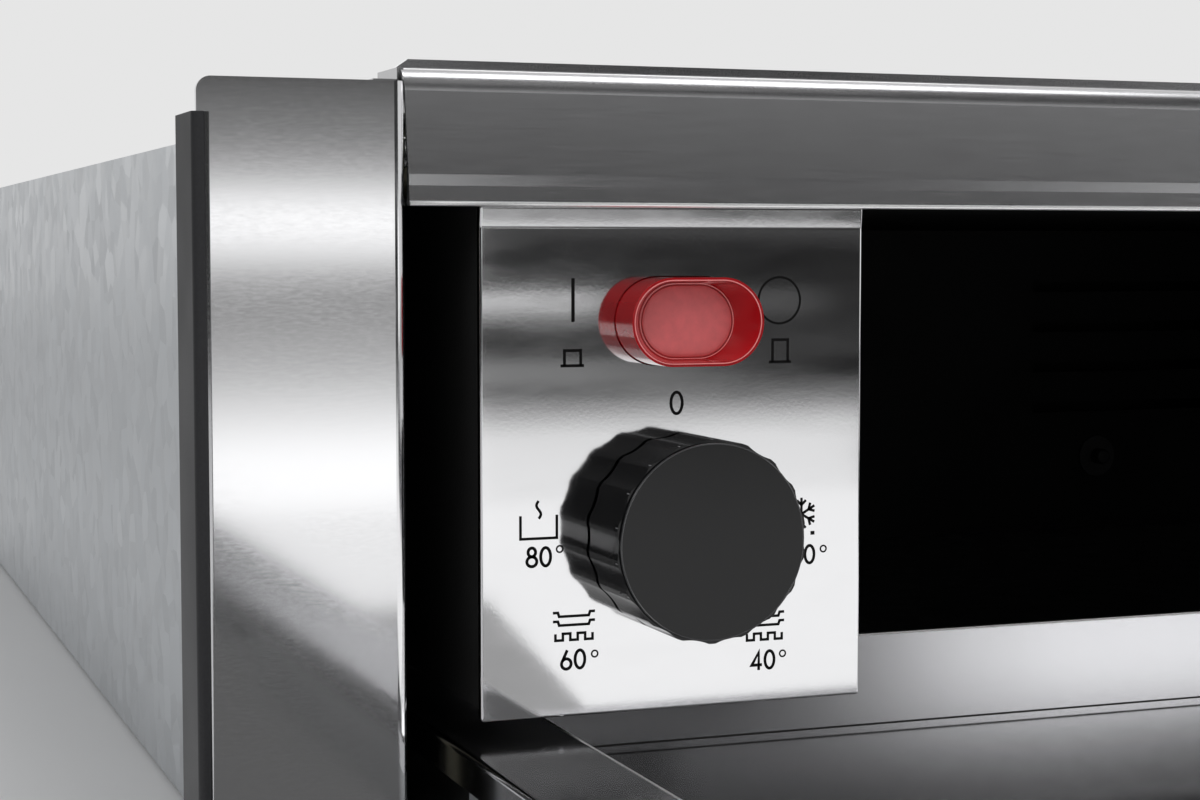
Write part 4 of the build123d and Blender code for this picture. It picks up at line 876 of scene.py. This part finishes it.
def graded_card(name, x_range, y, z_range, axis, tones, nearest):
    """An upright glowing card whose grey changes along X or Z, by a list of places and greys: bands of painted light
    and shade in the reflections.
    """
    low, high = tones[0][0], tones[-1][0]
    card = upright_panel(name, x_range, y, z_range, 0.0, nearest)
    tree = card.data.materials[0].node_tree
    coordinates = add(tree, "ShaderNodeTexCoord")
    split = add(tree, "ShaderNodeSeparateXYZ", {"Vector": coordinates.outputs["Object"]})
    share = add(tree, "ShaderNodeMapRange", {"Value": split.outputs[axis], "From Min": low, "From Max": high})
    ramp = add(tree, "ShaderNodeValToRGB", {"Fac": share.outputs["Result"]})
    peak = max(grey for place_at, grey in tones)
    stops = ramp.color_ramp.elements
    for place_at, grey in tones[1:-1]:
        stops.new((place_at - low) / (high - low))
    for stop, (place_at, grey) in zip(stops, tones):
        stop.color = (grey / peak, grey / peak, grey / peak, 1)
    shader = tree.nodes["Principled BSDF"]
    tree.links.new(ramp.outputs["Color"], shader.inputs["Emission Color"])
    shader.inputs["Emission Strength"].default_value = peak


def studio_panels():
    """Painted reflections: dark flags ahead of, above, below and left of the object, and graded cards before the open
    drawer's front, which stand in for its lit and shaded inner front and the lit tray floor.
    """
    far, left, low, high = -1.7, -1.3, 0.01, 0.75
    upright_panel("front_flag", (-1.3, 1.5), far, (low, high), 0.045)
    studio_panel("left_flag", [(left, far, low), (left, 0.4, low), (left, 0.4, high), (left, far, high)], 0.03)
    graded_card("left_card", (-0.240, -0.137), CARD_PLANE, (0.023, 0.168), "Z", LEFT_CARD_TONES, NEAREST_CARD)
    graded_card("right_card", (-0.137, 0.012), CARD_PLANE, (0.023, 0.131), "Z", RIGHT_CARD_TONES, NEAREST_CARD)
    graded_card("wall_card", (0.012, 0.330), CARD_PLANE, (0.075, 0.130), "X", WALL_CARD_TONES, 0.36)
    graded_card("strip_flag", (-0.200, -0.095), -0.450, (0.0815, 0.0870), "X", STRIP_FLAG_TONES, 0.17)
    graded_card("edge_card", (-0.137, 0.012), -0.654, (0.0915, 0.0990), "X", EDGE_CARD_TONES, NEAREST_CARD)
    lying_panel("tray_card", [(-0.243, -0.655), (0.012, -0.655), (0.012, -0.330), (-0.215, -0.330), (-0.194, -0.455),
                              (-0.232, -0.455), (-0.230, -0.525)], 0.030, 1.15)
    lying_panel("rail_flag", [(-0.190, -0.480), (-0.215, -0.330), (-0.247, -0.330), (-0.243, -0.455), (-0.240, -0.560),
                              (-0.200, -0.560)], 0.0295, 0.42)
    lying_panel("under_flag", [(-0.330, -0.680), (0.100, -0.680), (0.100, -0.275), (-0.330, -0.275)], 0.004, 0.14)
    lying_panel("over_flag", [(-1.300, -0.300), (1.500, -0.300), (1.500, -1.700), (-1.300, -1.700)], 1.0, 0.05)


def soft_light(name, place_at, aim, size, watts):
    """A square area light that points at a place."""
    data = bpy.data.lights.new(name, "AREA")
    data.shape = "RECTANGLE"
    data.size = size[0]
    data.size_y = size[1]
    data.energy = watts
    light = bpy.data.objects.new(name, data)
    light.location = place_at
    direction = np.array(aim, float) - np.array(place_at, float)
    flat = math.hypot(direction[0], direction[1])
    light.rotation_euler = (math.atan2(flat, -direction[2]), 0, math.atan2(direction[1], direction[0]) - math.pi / 2)
    bpy.context.scene.collection.objects.link(light)


def make_stage():
    """Floor, world, the panels painted into the reflections, and the studio's soft lights."""
    plain_floor()
    pale_world()
    studio_panels()
    soft_light("top_light", (0.1, -0.5, 1.3), (0.0, -0.45, 0.0), (1.4, 0.5), 9)
    soft_light("key_light", (-1.2, -1.4, 1.2), (-0.1, -0.3, 0.05), (0.8, 0.8), 6)
    soft_light("fill_light", (1.5, -0.8, 0.8), (0.1, -0.2, 0.05), (1.0, 0.8), 4.5)
    soft_light("back_light", (0.4, 1.7, 1.0), (0.0, 0.2, 0.05), (1.2, 0.8), 3.5)


# ---------------------------------------------------------------------------
# Making
# ---------------------------------------------------------------------------

make_camera()
plate_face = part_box("control_plate")[0].y + 0.3 * MM
materials = make_materials()
dress_nodes(materials)
make_print(materials)
make_button_face(materials)
make_edges(materials)
make_ridge_glints_and_joint_line(materials)
make_all_screws(materials)
make_gland(materials)
make_return_spring(materials)
make_blanket(materials)
make_front_pad(materials)
make_stage()

view = bpy.context.scene.view_settings
view.view_transform = "Standard"
